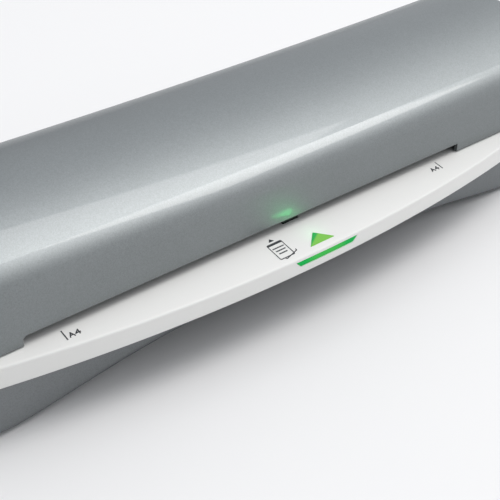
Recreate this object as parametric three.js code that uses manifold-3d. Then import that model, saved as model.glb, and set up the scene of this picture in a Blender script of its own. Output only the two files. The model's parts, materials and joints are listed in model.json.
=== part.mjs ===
// An A4 pouch laminator: a barrel-shaped cover over an arched housing, a smile-shaped entry tray
// with a lit start button, and inside it a frame with two heated rollers driven by a gear motor.
// Millimetres, +Z up, +X along the machine, the user stands on the -Y side.
// The origin is on the table, at the centre of the machine's footprint.
import * as THREE from 'three';
import { mergeVertices } from 'three/addons/utils/BufferGeometryUtils.js';
import Module from 'manifold-3d';

const wasm = await Module();
wasm.setup();

// ---- overall sizes -------------------------------------------------------------------------
const width = 372;              // end to end
const bodyDepth = 115.7;        // front face to rear face, without the tray's overhang
const trayReach = 19.3;         // how far the tray stands out at its middle
const wall = 2.4;               // cover and housing
const endRound = 12;            // rounding of the two ends of cover and housing
const gap = 0.3;                // between pieces that touch
const slip = 0.15;              // radial play of a pin or stud in its hole
const faceY = -(bodyDepth - trayReach) / 2;
const rearY = faceY + bodyDepth;

// ---- cover ---------------------------------------------------------------------------------
const slotZ = 46;               // lower edge of the cover over the entry slot
const slotHeight = 4.6;
const slotWidth = 248.4;        // for a 216 mm pouch
const slotX = -19;              // the drive stands on the right, so the slot sits to the left
const slotLow = slotX - slotWidth / 2;
const slotHigh = slotX + slotWidth / 2;
const faceLean = THREE.MathUtils.degToRad(3.2);
const noseRadius = 20;
const noseRise = 16.3;          // centre of the nose above the slot edge
const crownRadius = 80;
const crownSet = 50;            // crest of the crown behind the face
const crownY = faceY + crownSet;
const crownZ = 89.3;
const heelRadius = 14;
const heelFall = 24.975;        // drop of the crown from its crest to the heel's centre line
const endLift = 1.0e-4;         // the top rises towards both ends by this times x squared
const exitHeight = 8;

// ---- housing -------------------------------------------------------------------------------
const trayZ = slotZ - slotHeight;
const jointZ = trayZ;           // the cover stands on this level, one gap above it
const archClear = 2.2;          // under the lower heater, over the housing's floor
const archFlat = 50;            // half the flat stretch
const heelZ = 1;                // lowest line of the housing at its two ends
const heelInset = 30;           // lowest line of the housing from each end
const heelX = width / 2 - heelInset;
const heelEase = 20;            // how flat the arch starts beside the heel
const endRise = 29;             // height of the rounding under each end
const edgeRound = 4;

// ---- tray ----------------------------------------------------------------------------------
const tipInset = 8;             // end of the bow from each end of the machine
const trayTip = width / 2 - tipInset;
const trayQuartic = 0.093e-8;
const traySlope = THREE.MathUtils.degToRad(7.6);
const trayFloorZ = 30;
const traySide = 2.2;
const trayTop = 1.9;
const trayTuck = 15.8;          // how far the tray runs in under the cover
const trayRear = faceY + trayTuck;
const baseThick = 1.8;

// ---- button, lamp and sensor ---------------------------------------------------------------
const buttonHeight = 2.6;
const buttonTop = 18.3;         // half the upper edge of the start bar
const buttonFoot = 15.6;        // half its lower edge
const stopperHalf = 20.5;
const buttonZ = 35.6;
const buttonTravel = 0.8;
const buttonPlay = 0.25;
const lampHalf = 7.15;
const lampDepth = 7.1;
const lampSetback = 8.4;        // apex of the lamp in front of the slot edge
const boardThick = 1.6;
const boardHalf = 28;
const sensorWidth = 9;
const sensorX = -2.75;
const sensorArm = 8;
const sensorSet = 5.3;          // pivot behind the slot edge
const sensorZ = 36.5;
const armHalf = 1.1;            // half the thickness of the lever at its root
const armTip = 0.6;
const armTail = 2.6;            // below the pivot

// ---- rollers and frame ---------------------------------------------------------------------
const pathZ = trayZ + slotHeight / 2 + 0.3;
const rollerRadius = 11;
const filmGap = 0.3;            // open nip, closed by the soft sleeves round a film
const rollerY = 10;
const rollerRelief = 6.2;       // slot end to the end of the rubber
const rollerLength = slotWidth - 2 * rollerRelief;
const shaftRadius = 4;
const plateThick = 1.5;
const plateGapX = 4.8;          // slot end to side plate
const leftPlate = slotLow - plateGapX;
const rightPlate = slotHigh + plateGapX;
const flangeClear = 3.2675;     // under the teeth of the lower roller's gear
const plateInset = 3;           // side plate behind the tray
const springHeight = 12.1;      // from the upper bearing to the tab over it
const blockThick = 7;
const blockHalf = 6.5;
const barrelRadius = 6;
const gearWidth = 6;
const rollerTeeth = 22;
const pinionTeeth = 14;
const pressureAngle = THREE.MathUtils.degToRad(20);
const backlash = 0.14;
const motorRadius = 21;
const motorThick = 20;
const motorShaftRadius = 2;
const standoffRadius = 3.2;
const guideThick = 1.8;
const guideGap = 3.4;
const shellPlay = 1;
const shellThick = 1.5;
const padHalf = 7;
const padRise = 1;
const heaterThick = 1.6;
const screwRadius = 1.5;
const headRadius = 2.8;
const headHeight = 1.8;

const nipDistance = 2 * rollerRadius + filmGap;
const lowerZ = pathZ - nipDistance / 2;
const upperZ = pathZ + nipDistance / 2;
const tabZ = upperZ + blockHalf + springHeight + 0.25;
const plateTopZ = tabZ + 2;
const gearModule = nipDistance / rollerTeeth;
const addendum = 0.92 * gearModule;
const plateFootZ = lowerZ - nipDistance / 2 - addendum - flangeClear - plateThick;
const heaterReach = rollerRadius + shellPlay + shellThick + padRise + gap / 2 + heaterThick;
const archZ = lowerZ - heaterReach - archClear - wall;
const motorY = rollerY + gearModule * (rollerTeeth + pinionTeeth) / 2;
const blockX = rightPlate + plateThick + gap;
const gearX = blockX + blockThick + 1.2;
const bracketX = gearX + gearWidth + 2.5;
const motorX = bracketX + plateThick + gap;

// ---- finishes ------------------------------------------------------------------------------
const finish = (color, roughness, metalness) =>
  new THREE.MeshStandardMaterial({ color, roughness, metalness });
const silverPaint = finish(0x93969b, 0.35, 0.7);
const greyPaint = finish(0x62666a, 0.4, 0.6);
const whitePlastic = finish(0xececea, 0.45, 0);
const darkPlastic = finish(0x2c2e31, 0.6, 0);
const naturalPlastic = finish(0xe2ddcf, 0.5, 0);
const litGreen = finish(0x1cb050, 0.25, 0);
const boardGreen = finish(0x1f5a38, 0.5, 0);
const silicone = finish(0xb5482f, 0.7, 0);
const steel = finish(0xa8abae, 0.35, 1);
const zinc = finish(0xb9bcc0, 0.45, 1);
const aluminium = finish(0xc4c7ca, 0.4, 1);
const brass = finish(0xc9a85a, 0.3, 1);
const mica = finish(0xb59a6a, 0.7, 0);
const rubber = finish(0x1c1c1e, 0.85, 0);

// ---- solids --------------------------------------------------------------------------------
function toSolid(geometry) {
  const plain = geometry.clone();
  plain.deleteAttribute('normal');
  plain.deleteAttribute('uv');
  const merged = mergeVertices(plain, 1e-4);
  const vertProperties = new Float32Array(merged.attributes.position.array);
  const triVerts = new Uint32Array(merged.index.array);
  return new wasm.Manifold(new wasm.Mesh({ numProp: 3, vertProperties, triVerts }));
}

function toGeometry(solid) {
  const mesh = solid.getMesh();
  const geometry = new THREE.BufferGeometry();
  geometry.setAttribute('position', new THREE.BufferAttribute(new Float32Array(mesh.vertProperties), 3));
  geometry.setIndex(new THREE.BufferAttribute(new Uint32Array(mesh.triVerts), 1));
  geometry.computeVertexNormals();
  return geometry;
}

const combine = (method, first, others) =>
  toGeometry(others.reduce((solid, other) => solid[method](toSolid(other)), toSolid(first)));
const cut = (body, ...tools) => combine('subtract', body, tools);
const join = (body, ...extras) => combine('add', body, extras);
const common = (body, ...others) => combine('intersect', body, others);

const ontoX = new THREE.Matrix4().set(0, 0, 1, 0, 1, 0, 0, 0, 0, 1, 0, 0, 0, 0, 0, 1);
const ontoY = new THREE.Matrix4().set(1, 0, 0, 0, 0, 0, -1, 0, 0, 1, 0, 0, 0, 0, 0, 1);

// An outline in the Y-Z plane run along X, one in the X-Z plane run along Y, and one run upwards.
const alongX = (shape, low, high, segments) =>
  extruded(shape, high - low, segments).applyMatrix4(ontoX).translate(low, 0, 0);
const alongY = (shape, low, high, segments) =>
  extruded(shape, high - low, segments).applyMatrix4(ontoY).translate(0, high, 0);
const alongZ = (shape, low, high, segments) => extruded(shape, high - low, segments).translate(0, 0, low);

// The outline as plain points, without the doubled ones where two curves meet.
function outlinePoints(path, segments) {
  const points = path.getPoints(segments);
  return points.filter((point, i) => point.distanceTo(points.at(i - 1)) > 1e-4);
}

function extruded(shape, depth, segments = 6) {
  const outline = new THREE.Shape(outlinePoints(shape, segments));
  outline.holes = shape.holes.map((path) => new THREE.Path(outlinePoints(path, segments)));
  return new THREE.ExtrudeGeometry(outline, { depth, bevelEnabled: false });
}

// A body between two rounded ends: outlineAt(inset) gives its section, which shrinks into each end.
function roundEnded(outlineAt, length, round, segments, steps) {
  const turns = 3;
  const ends = Array.from({ length: turns + 1 }, (_, i) => {
    const angle = Math.PI / 2 * i / turns;
    return { at: round * (1 - Math.cos(angle)), inset: round * (1 - Math.sin(angle)) };
  });
  const middle = Array.from({ length: steps - 1 }, (_, i) =>
    ({ at: round + (length - 2 * round) * (i + 1) / steps, inset: 0 }));
  const far = ends.toReversed().map(({ at, inset }) => ({ at: length - at, inset }));
  const outlines = [...ends, ...middle, ...far].map(({ at, inset }) => {
    const points = outlinePoints(outlineAt(inset), segments);
    return { at, points: THREE.ShapeUtils.isClockWise(points) ? points.reverse() : points };
  });
  const sections = outlines.map(({ at, points }) => points.map((point) => [point.x, point.y, at]));
  const count = sections[0].length;
  const lid = THREE.ShapeUtils.triangulateShape(outlines[0].points, []);
  const last = (sections.length - 1) * count;
  const faces = lid.flatMap(([a, b, c]) => [[a, c, b], [a + last, b + last, c + last]]);
  for (let i = 0; i + 1 < sections.length; i += 1) {
    for (let j = 0; j < count; j += 1) {
      const here = i * count + j;
      const next = i * count + (j + 1) % count;
      faces.push([here, next, next + count], [here, next + count, here + count]);
    }
  }
  const geometry = new THREE.BufferGeometry();
  geometry.setAttribute('position', new THREE.Float32BufferAttribute(sections.flat(2), 3));
  geometry.setIndex(faces.flat());
  return geometry;
}

// A box between two corners.
function block(x0, x1, y0, y1, z0, z1) {
  return new THREE.BoxGeometry(x1 - x0, y1 - y0, z1 - z0)
    .translate((x0 + x1) / 2, (y0 + y1) / 2, (z0 + z1) / 2);
}

// Round bars along each axis; a hole of the same radius is drawn outside its circle.
const bar = (radius, length, sides) => new THREE.CylinderGeometry(radius, radius, length, sides);
const hole = (radius, sides = 24) => radius / Math.cos(Math.PI / sides);
const barX = (radius, x0, x1, y, z, sides = 24) =>
  bar(radius, x1 - x0, sides).rotateZ(-Math.PI / 2).translate((x0 + x1) / 2, y, z);
const barY = (radius, y0, y1, x, z, sides = 24) =>
  bar(radius, y1 - y0, sides).translate(x, (y0 + y1) / 2, z);
const barZ = (radius, z0, z1, x, y, sides = 24) =>
  bar(radius, z1 - z0, sides).rotateX(Math.PI / 2).translate(x, y, (z0 + z1) / 2);

// A turned piece: pairs of radius and height, from the axis at the foot to the axis at the top.
const turned = (pairs, sides = 24) =>
  new THREE.LatheGeometry(pairs.map(([radius, height]) => new THREE.Vector2(radius, height)), sides);
const turnedX = (pairs, sides) => turned(pairs, sides).rotateZ(-Math.PI / 2);
const turnedZ = (pairs, sides) => turned(pairs, sides).rotateX(Math.PI / 2);

function polygon(points) {
  return new THREE.Shape(points.map(([u, v]) => new THREE.Vector2(u, v)));
}

function roundedRectangle(u0, u1, v0, v1, radius) {
  const shape = new THREE.Shape();
  shape.moveTo(u0 + radius, v0);
  shape.lineTo(u1 - radius, v0);
  shape.absarc(u1 - radius, v0 + radius, radius, -Math.PI / 2, 0);
  shape.lineTo(u1, v1 - radius);
  shape.absarc(u1 - radius, v1 - radius, radius, 0, Math.PI / 2);
  shape.lineTo(u0 + radius, v1);
  shape.absarc(u0 + radius, v1 - radius, radius, Math.PI / 2, Math.PI);
  shape.lineTo(u0, v0 + radius);
  shape.absarc(u0 + radius, v0 + radius, radius, Math.PI, 1.5 * Math.PI);
  return shape;
}

function screw(length, radius = screwRadius, head = headRadius, height = headHeight) {
  return turned([[0, -height], [head * 0.8, -height], [head, -height * 0.6], [head, 0],
    [radius, 0], [radius, length - radius], [0, length]], 16);
}

// ---- the part ------------------------------------------------------------------------------
const laminator = new THREE.Group();
laminator.name = 'pouch_laminator';

function add(name, geometry, material, parent = laminator) {
  const mesh = new THREE.Mesh(geometry, material);
  mesh.name = name;
  parent.add(mesh);
  return mesh;
}

// ---- upper cover ---------------------------------------------------------------------------
function circleCrossing(a, radiusA, b, radiusB) {
  const between = b.clone().sub(a);
  const distance = between.length();
  const along = (radiusA ** 2 - radiusB ** 2 + distance ** 2) / (2 * distance);
  const aside = Math.sqrt(radiusA ** 2 - along ** 2);
  between.normalize();
  const sideways = new THREE.Vector2(between.y, -between.x).multiplyScalar(aside);
  return a.clone().addScaledVector(between, along).add(sideways);
}

// The cover in section: a leaning face, a round nose, a crease, the crown and the heel.
function coverSection(inset, foot) {
  const faceAt = (z) => faceY + (z - slotZ) * Math.tan(faceLean) + inset / Math.cos(faceLean);
  const nose = new THREE.Vector2(
    faceY + noseRise * Math.tan(faceLean) + noseRadius / Math.cos(faceLean), slotZ + noseRise);
  const crown = new THREE.Vector2(crownY, crownZ - crownRadius);
  const heelReach = rearY - heelRadius - crownY;
  const backRadius = heelRadius + (heelReach ** 2 + heelFall ** 2) / (2 * heelFall);
  const back = new THREE.Vector2(crownY, crownZ - backRadius);
  const heel = new THREE.Vector2(rearY - heelRadius, crownZ - heelRadius - heelFall);
  const crease = circleCrossing(nose, noseRadius - inset, crown, crownRadius - inset);
  const angle = (centre, point) => Math.atan2(point.y - centre.y, point.x - centre.x);
  const heelAngle = angle(back, heel);
  const radius = noseRadius - inset;
  const shape = new THREE.Shape();
  shape.moveTo(faceAt(foot), foot);
  shape.lineTo(nose.x - radius * Math.cos(faceLean), nose.y + radius * Math.sin(faceLean));
  shape.absarc(nose.x, nose.y, radius, Math.PI - faceLean, angle(nose, crease), true);
  shape.absarc(crown.x, crown.y, crownRadius - inset, angle(crown, crease), Math.PI / 2, true);
  shape.absarc(back.x, back.y, backRadius - inset, Math.PI / 2, heelAngle, true);
  shape.absarc(heel.x, heel.y, heelRadius - inset, heelAngle, 0, true);
  shape.lineTo(rearY - inset, foot);
  return shape;
}

function liftEnds(geometry) {
  const position = geometry.attributes.position;
  for (let i = 0; i < position.count; i += 1) {
    const share = THREE.MathUtils.clamp((position.getZ(i) - slotZ) / (crownZ - slotZ), 0, 1);
    position.setZ(i, position.getZ(i) + endLift * position.getX(i) ** 2 * share);
  }
  return geometry;
}

const postX = width / 2 - 16;
const postYs = [faceY + 22, rearY - 20];
const postTopZ = jointZ - 3.4;
const postRadius = 4;
const screwRun = 14;            // how far the case screws bite into the cover's posts
const screwLength = 24;         // case screw under its head
const headSeatZ = postTopZ - 14;

function upperCover() {
  const foot = jointZ - endRound - 4;
  const half = width / 2;
  const shell = (inset, segments, steps) => {
    const outlineAt = (shrink) => coverSection(inset + shrink, foot - inset);
    const body = roundEnded(outlineAt, width - 2 * inset, endRound - inset, segments, steps);
    return liftEnds(body.applyMatrix4(ontoX).translate(-half + inset, 0, 0));
  };
  const outer = shell(0, 5, 8);
  const inner = shell(wall, 3, 4);
  const below = block(-half - 1, half + 1, faceY - 9, rearY + 9, foot - 9, jointZ + gap);
  const entry = block(slotLow, slotHigh, faceY - 1, faceY + wall + 2, jointZ - 1, slotZ);
  const exit = block(slotLow, slotHigh, rearY - wall - 2, rearY + 1, jointZ - 1, jointZ + exitHeight);
  const casing = cut(outer, inner, below, entry, exit);
  const posts = [-postX, postX].flatMap((x) => postYs.map((y) =>
    common(barZ(postRadius, postTopZ + gap, crownZ + 5, x, y, 12), outer)));
  const pilots = [-postX, postX].flatMap((x) => postYs.map((y) =>
    barZ(hole(screwRadius + slip, 12), postTopZ, postTopZ + screwRun, x, y, 12)));
  return cut(join(casing, ...posts), ...pilots);
}
add('upper_cover', upperCover(), silverPaint);

// ---- lower housing -------------------------------------------------------------------------
// The housing from the front: two feet with round outer ends and a shallow arch between them.
function housingOutline(inset, top) {
  const half = width / 2 - inset;
  const shape = new THREE.Shape();
  const roundX = width / 2 - heelX - inset;
  const roundZ = endRise - inset;
  const centreZ = heelZ + endRise;
  const low = heelZ + inset;
  const high = archZ + inset;
  shape.moveTo(half, top);
  shape.lineTo(half, centreZ);
  shape.absellipse(heelX, centreZ, roundX, roundZ, 0, -Math.PI / 2, true);
  shape.bezierCurveTo(heelX - heelEase, low, archFlat * 2, high, archFlat, high);
  shape.lineTo(-archFlat, high);
  shape.bezierCurveTo(-archFlat * 2, high, -heelX + heelEase, low, -heelX, low);
  shape.absellipse(-heelX, centreZ, roundX, roundZ, -Math.PI / 2, -Math.PI, true);
  shape.lineTo(-half, top);
  return shape;
}

function housingBlock(inset) {
  const top = jointZ + 8;
  const sides = roundEnded((shrink) => housingOutline(inset + shrink, top), bodyDepth - 2 * inset,
    edgeRound - inset / 2, inset ? 3 : 5, 1).applyMatrix4(ontoY).translate(0, rearY - inset, 0);
  const plan = roundedRectangle(-width / 2 + inset, width / 2 - inset, faceY + inset, rearY - inset,
    endRound - inset);
  return common(sides, alongZ(plan, heelZ - 1, inset ? jointZ + 1 : jointZ, 2));
}

const frameScrewX = [leftPlate - plateThick - 6, rightPlate + plateThick + 6];
const frameScrewY = [rollerY - 28, rollerY + 30];
const footX = heelX - 4;
const footYs = [faceY + 18, rearY - 18];
const footRadius = 6.2;
const footTop = 2.7;
const footStud = 2.5;
const framePostRadius = 4;
const frameScrewRadius = 1.2;
const inletX = 150;
const inletZ = 22;
const inletHalf = 9.5;
const inletRise = 5.5;
const inletRound = 5.2;

const inletOutline = (grow) => roundedRectangle(inletX - inletHalf - grow, inletX + inletHalf + grow,
  inletZ - inletRise - grow, inletZ + inletRise + grow, inletRound + Math.min(grow, 0));

function lowerHousing() {
  const outer = housingBlock(0);
  const shell = cut(outer, housingBlock(wall));
  const corners = [-1, 1].flatMap((side) => postYs.map((y) => [side * postX, y]));
  const feet = [-1, 1].flatMap((side) => footYs.map((y) => [side * footX, y]));
  const frame = frameScrewX.flatMap((x) => frameScrewY.map((y) => [x, y]));
  const posts = [
    ...corners.map(([x, y]) => common(barZ(postRadius + 1, 0, postTopZ, x, y, 10), outer)),
    ...feet.map(([x, y]) => common(barZ(footRadius + 3, 0, footTop + 4, x, y, 10), outer)),
    ...frame.map(([x, y]) => common(barZ(framePostRadius, 0, plateFootZ - gap, x, y, 10), outer)),
  ];
  const cuts = [
    ...corners.map(([x, y]) => barZ(hole(screwRadius + slip, 10), -1, postTopZ + 1, x, y, 10)),
    ...corners.map(([x, y]) => barZ(hole(headRadius + 2 * slip, 10), -1, headSeatZ, x, y, 10)),
    ...feet.map(([x, y]) => barZ(hole(footRadius + gap, 10), -1, footTop + gap, x, y, 10)),
    ...feet.map(([x, y]) => barZ(hole(footStud + slip, 10), -1, footTop + 5, x, y, 10)),
    ...frame.map(([x, y]) =>
      barZ(hole(frameScrewRadius + slip, 10), plateFootZ - 9, plateFootZ + 1, x, y, 10)),
    block(-trayTip - gap, trayTip + gap, faceY - 1, trayRear + gap, trayFloorZ - gap, jointZ + 2),
    block(slotLow, slotHigh, rearY - wall - 2, rearY + 1, jointZ - 2, jointZ + 2),
    alongY(inletOutline(gap), rearY - wall - 2, rearY + 1, 3),
  ];
  return cut(join(shell, ...posts), ...cuts);
}
add('lower_housing', lowerHousing(), greyPaint);

// ---- entry tray ----------------------------------------------------------------------------
// How far the bow of the tray stands in front of the cover's face, at a distance x from the middle.
const bowCurve = (trayReach - trayQuartic * trayTip ** 4) / trayTip ** 2;
const bow = (x) => trayReach - bowCurve * x * x - trayQuartic * x ** 4;

function trayPlan(inset, rear, tip = trayTip) {
  const steps = 28;
  const front = Array.from({ length: steps + 1 }, (_, i) => {
    const x = (tip - inset * 2) * (2 * i / steps - 1);
    return [x, Math.min(faceY - bow(x) + inset, rear - 1)];
  });
  return polygon([...front, [tip - inset * 2, rear], [-tip + inset * 2, rear]]);
}

// The space under the sloping top of the tray, lowered by inset.
function traySlice(inset, foot) {
  const front = faceY - trayReach - 5;
  const top = trayZ - inset;
  return alongX(polygon([[front, foot], [trayRear + 5, foot], [trayRear + 5, top], [faceY, top],
    [front, top - (faceY - front) * Math.tan(traySlope)]]), -width, width);
}

// A prism that points at the slot: the lamp in the tray's top.
function lampPrism(grow, low, high) {
  const base = faceY - lampSetback - lampDepth - grow;
  return alongZ(polygon([[-lampHalf - 2 * grow, base], [lampHalf + 2 * grow, base],
    [0, faceY - lampSetback + 2 * grow]]), low, high);
}

// The bar-shaped button in the tray's front, wider at the top.
function buttonBar(grow, front, rear) {
  const low = buttonZ - buttonHeight / 2 - grow;
  const high = buttonZ + buttonHeight / 2 + grow;
  const spread = buttonTop + grow * 1.5;
  const narrow = buttonFoot + grow * 1.5;
  return alongY(polygon([[-narrow, low], [narrow, low], [spread, high], [-spread, high]]), front, rear);
}

const trayScrewX = 90;
const trayScrewY = faceY - 4;
const frontY = faceY - trayReach;
const slitLow = faceY + sensorSet - armHalf - gap;
const slitHigh = trayRear - traySide - 0.8;

function entryTray() {
  const outer = common(alongZ(trayPlan(0, trayRear), trayFloorZ, trayZ + 1), traySlice(0, trayFloorZ - 1));
  const hollow = common(alongZ(trayPlan(traySide, trayRear - traySide), trayFloorZ - 1, trayZ + 1),
    traySlice(trayTop, trayFloorZ - 2));
  const slitHalf = sensorWidth / 2 + 0.5;
  const bosses = [-trayScrewX, trayScrewX].map((x) =>
    common(barZ(3.2, trayFloorZ + baseThick + gap, trayZ, x, trayScrewY, 16), outer));
  return cut(join(cut(outer, hollow), ...bosses),
    lampPrism(slip, trayFloorZ, trayZ + 2),
    buttonBar(buttonPlay, frontY - 1, frontY + traySide + 1.5),
    block(sensorX - slitHalf, sensorX + slitHalf, slitLow, slitHigh, trayZ - 3, trayZ + 1),
    ...[-trayScrewX, trayScrewX].map((x) =>
      barZ(hole(screwRadius + slip, 12), trayFloorZ, trayFloorZ + 7.2, x, trayScrewY, 12)));
}
add('entry_tray', entryTray(), whitePlastic);

const lugX = sensorWidth / 2 + 1.2;
const lugThick = 1.6;
const pivotRadius = 1.2;
const pivotY = faceY + sensorSet;
const boardZ = trayFloorZ + baseThick + 0.7;

function trayBase() {
  const plan = trayPlan(traySide + gap, trayRear - traySide - gap);
  const plate = alongZ(plan, trayFloorZ, trayFloorZ + baseThick);
  const lugs = [-1, 1].map((side) => {
    const x = sensorX + side * (lugX + lugThick / 2);
    return block(x - lugThick / 2, x + lugThick / 2, pivotY - 2, pivotY + 2, trayFloorZ + 1, sensorZ + 2);
  });
  const rests = [4 - boardHalf, boardHalf - 4].map((x) =>
    barZ(2.5, trayFloorZ + 1, boardZ - 0.2, x, faceY - 8, 12));
  return cut(join(plate, ...lugs, ...rests),
    barX(hole(pivotRadius + slip, 16), sensorX - sensorWidth, sensorX + sensorWidth, pivotY, sensorZ, 16),
    ...[-trayScrewX, trayScrewX].map((x) =>
      barZ(hole(screwRadius + slip, 12), trayFloorZ - 1, trayFloorZ + 3, x, trayScrewY, 12)));
}
add('tray_base', trayBase(), darkPlastic);

[-trayScrewX, trayScrewX].forEach((x, i) => {
  const mesh = add(`tray_screw_${i + 1}`, screw(7, screwRadius, 2.5, 1.2).rotateX(Math.PI / 2), zinc);
  mesh.position.set(x, trayScrewY, trayFloorZ - gap);
});

// ---- lamp, button, board and sensor --------------------------------------------------------
const ledY = faceY - lampSetback - lampDepth * 0.55;
const ledZ = boardZ + boardThick + 0.2;
const ledTop = ledZ + 1.8;
const lensFoot = buttonZ + buttonHeight / 2 + gap;

function indicatorLens() {
  const window = common(lampPrism(0, lensFoot, trayZ + 2), traySlice(-0.1, trayFloorZ));
  return join(window, barZ(1, ledTop + gap, lensFoot + 1, 0, ledY, 12));
}
add('indicator_lens', indicatorLens(), litGreen);

const buttonArm = 10;           // where the button's stem meets the switch
const switchFront = frontY + 8.6;

function powerButton() {
  const stopFront = frontY + traySide + 1.5 * gap;
  const face = common(buttonBar(0, frontY - 1, stopFront + 0.4),
    alongZ(trayPlan(0.05, trayRear), trayFloorZ, trayZ));
  const stopper = block(-stopperHalf, stopperHalf, stopFront, stopFront + 1, buttonZ - 1.1, buttonZ + 1.1);
  const stem = block(buttonArm - 1, buttonArm + 1, stopFront + 0.5, switchFront - buttonTravel - slip,
    buttonZ - 0.9, buttonZ + 0.9);
  return join(face, stopper, stem);
}
add('power_button', powerButton(), litGreen);

function controlBoard() {
  return block(-boardHalf, boardHalf, frontY + 6, faceY - 1.2, boardZ, boardZ + boardThick);
}
add('control_board', controlBoard(), boardGreen);

function buttonSwitch() {
  const foot = boardZ + boardThick + 0.2;
  return join(block(buttonArm - 3, buttonArm + 3, switchFront + 0.8, switchFront + 4, foot, foot + 3.2),
    barY(0.9, switchFront, switchFront + 1.5, buttonArm, buttonZ, 12));
}
add('button_switch', buttonSwitch(), darkPlastic);

add('indicator_led', turnedZ([[0, 0], [1.5, 0], [1.5, 0.9], [1.1, 1.5], [0, 1.8]], 12)
  .translate(0, ledY, ledZ), naturalPlastic);

function sensorLever() {
  const reach = lugX + lugThick - 0.2;
  const axle = barX(pivotRadius, sensorX - reach, sensorX + reach, pivotY, sensorZ, 12);
  const outline = polygon([[-armHalf, -armTail], [armHalf, -armTail], [armHalf, armTail],
    [armTip, sensorArm], [-armTip, sensorArm], [-armHalf, armTail]]);
  const arm = alongX(outline, sensorX - sensorWidth / 2, sensorX + sensorWidth / 2)
    .translate(0, pivotY, sensorZ);
  return join(axle, arm);
}
add('pouch_sensor_lever', sensorLever(), darkPlastic);

// ---- frame ---------------------------------------------------------------------------------
const frameRear = motorY + 23.75;               // rear edge of the side plates and the bracket
const standoffRear = frameRear - 6;
const standoffs = [[standoffRear, lowerZ - 10.85], [standoffRear, lowerZ + 17.15],
  [rollerY + nipDistance / 2 + 5.85, upperZ + 2.85]];
const tieBars = {
  front_tie_bar: [rollerY - 34, lowerZ - 6.85],
  rear_tie_bar: [frameRear - 12, upperZ + 8.85],
};
const tipRadius = 2.5;
const barRadius = 4;
const plateChamfer = 16;
const flangeWidth = 12;

function sidePlate(side) {
  const inner = side < 0 ? leftPlate : rightPlate;
  const outer = inner + side * plateThick;
  const low = Math.min(inner, outer);
  const high = Math.max(inner, outer);
  const front = trayRear + plateInset;
  const outline = polygon([[front, plateFootZ], [frameRear, plateFootZ],
    [frameRear, plateTopZ - plateChamfer], [frameRear - plateChamfer, plateTopZ - 2], [rollerY + 20, plateTopZ], [rollerY - 24, plateTopZ],
    [front, plateTopZ - 14]]);
  const plate = alongX(outline, low, high);
  const reach = [outer - side, outer + side * flangeWidth].sort((a, b) => a - b);
  const flange = block(...reach, front + 3, frameRear - 2, plateFootZ, plateFootZ + plateThick);
  const tabReach = [outer - side, outer + side * (gap + blockThick)].sort((a, b) => a - b);
  const tab = block(...tabReach, rollerY - blockHalf, rollerY + blockHalf, tabZ, tabZ + plateThick);
  const slot = join(barX(hole(barrelRadius + slip), low - 9, high + 9, rollerY, upperZ),
    barX(hole(barrelRadius + slip), low - 9, high + 9, rollerY, upperZ + 2));
  const index = side < 0 ? 0 : 1;
  return cut(join(plate, flange, tab), slot,
    barX(hole(barrelRadius + slip), low - 9, high + 9, rollerY, lowerZ),
    ...Object.values(tieBars).map(([y, z]) =>
      barX(hole(tipRadius + slip, 16), low - 9, high + 9, y, z, 16)),
    ...frameScrewY.map((y) =>
      barZ(hole(screwRadius + slip, 12), plateFootZ - 2, plateFootZ + 4, frameScrewX[index], y, 12)));
}
add('left_side_plate', sidePlate(-1), zinc);
add('right_side_plate', sidePlate(1), zinc);

frameScrewX.forEach((x, i) => frameScrewY.forEach((y, j) => {
  const mesh = add(`frame_screw_${2 * i + j + 1}`, screw(8, frameScrewRadius).rotateX(-Math.PI / 2), zinc);
  mesh.position.set(x, y, plateFootZ + plateThick + gap);
}));

const span = rightPlate - leftPlate;
for (const [name, [y, z]] of Object.entries(tieBars)) {
  const tip = plateThick + 1;
  const profile = [[0, -tip], [tipRadius, -tip], [tipRadius, gap], [barRadius, gap], [barRadius, span - gap],
    [tipRadius, span - gap], [tipRadius, span + tip], [0, span + tip]];
  add(name, turnedX(profile, 16).translate(leftPlate, y, z), steel);
}

// ---- rollers, bearings and gears -----------------------------------------------------------
const rollerGroup = (z) => {
  const group = new THREE.Group();
  group.position.set(0, rollerY, z);
  laminator.add(group);
  return group;
};
const lowerGroup = rollerGroup(lowerZ);
const upperGroup = rollerGroup(upperZ);
const sleeveLow = slotX - rollerLength / 2;
const sleeveHigh = slotX + rollerLength / 2;
const shaftLow = leftPlate - plateThick - gap - blockThick - 1;
const shaftHigh = gearX + gearWidth + 1;
const thickRadius = shaftRadius + 2.5;

function rollerShaft() {
  return turnedX([[0, shaftLow], [shaftRadius - 0.5, shaftLow], [shaftRadius, shaftLow + 0.5],
    [shaftRadius, sleeveLow - 2], [thickRadius, sleeveLow - 2], [thickRadius, sleeveHigh + 2],
    [shaftRadius, sleeveHigh + 2], [shaftRadius, shaftHigh - 0.5], [shaftRadius - 0.5, shaftHigh],
    [0, shaftHigh]]);
}

function ring(inner, outer, low, high, sides = 24) {
  return turnedX([[inner, low], [outer, low], [outer, high], [inner, high], [inner, low]], sides);
}

const rollerSleeve = () => ring(hole(thickRadius + 0.05, 32), rollerRadius, sleeveLow, sleeveHigh, 32);
add('lower_roller_shaft', rollerShaft(), steel, lowerGroup);
add('upper_roller_shaft', rollerShaft(), steel, upperGroup);
add('lower_roller_sleeve', rollerSleeve(), silicone, lowerGroup);
add('upper_roller_sleeve', rollerSleeve(), silicone, upperGroup);

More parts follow.
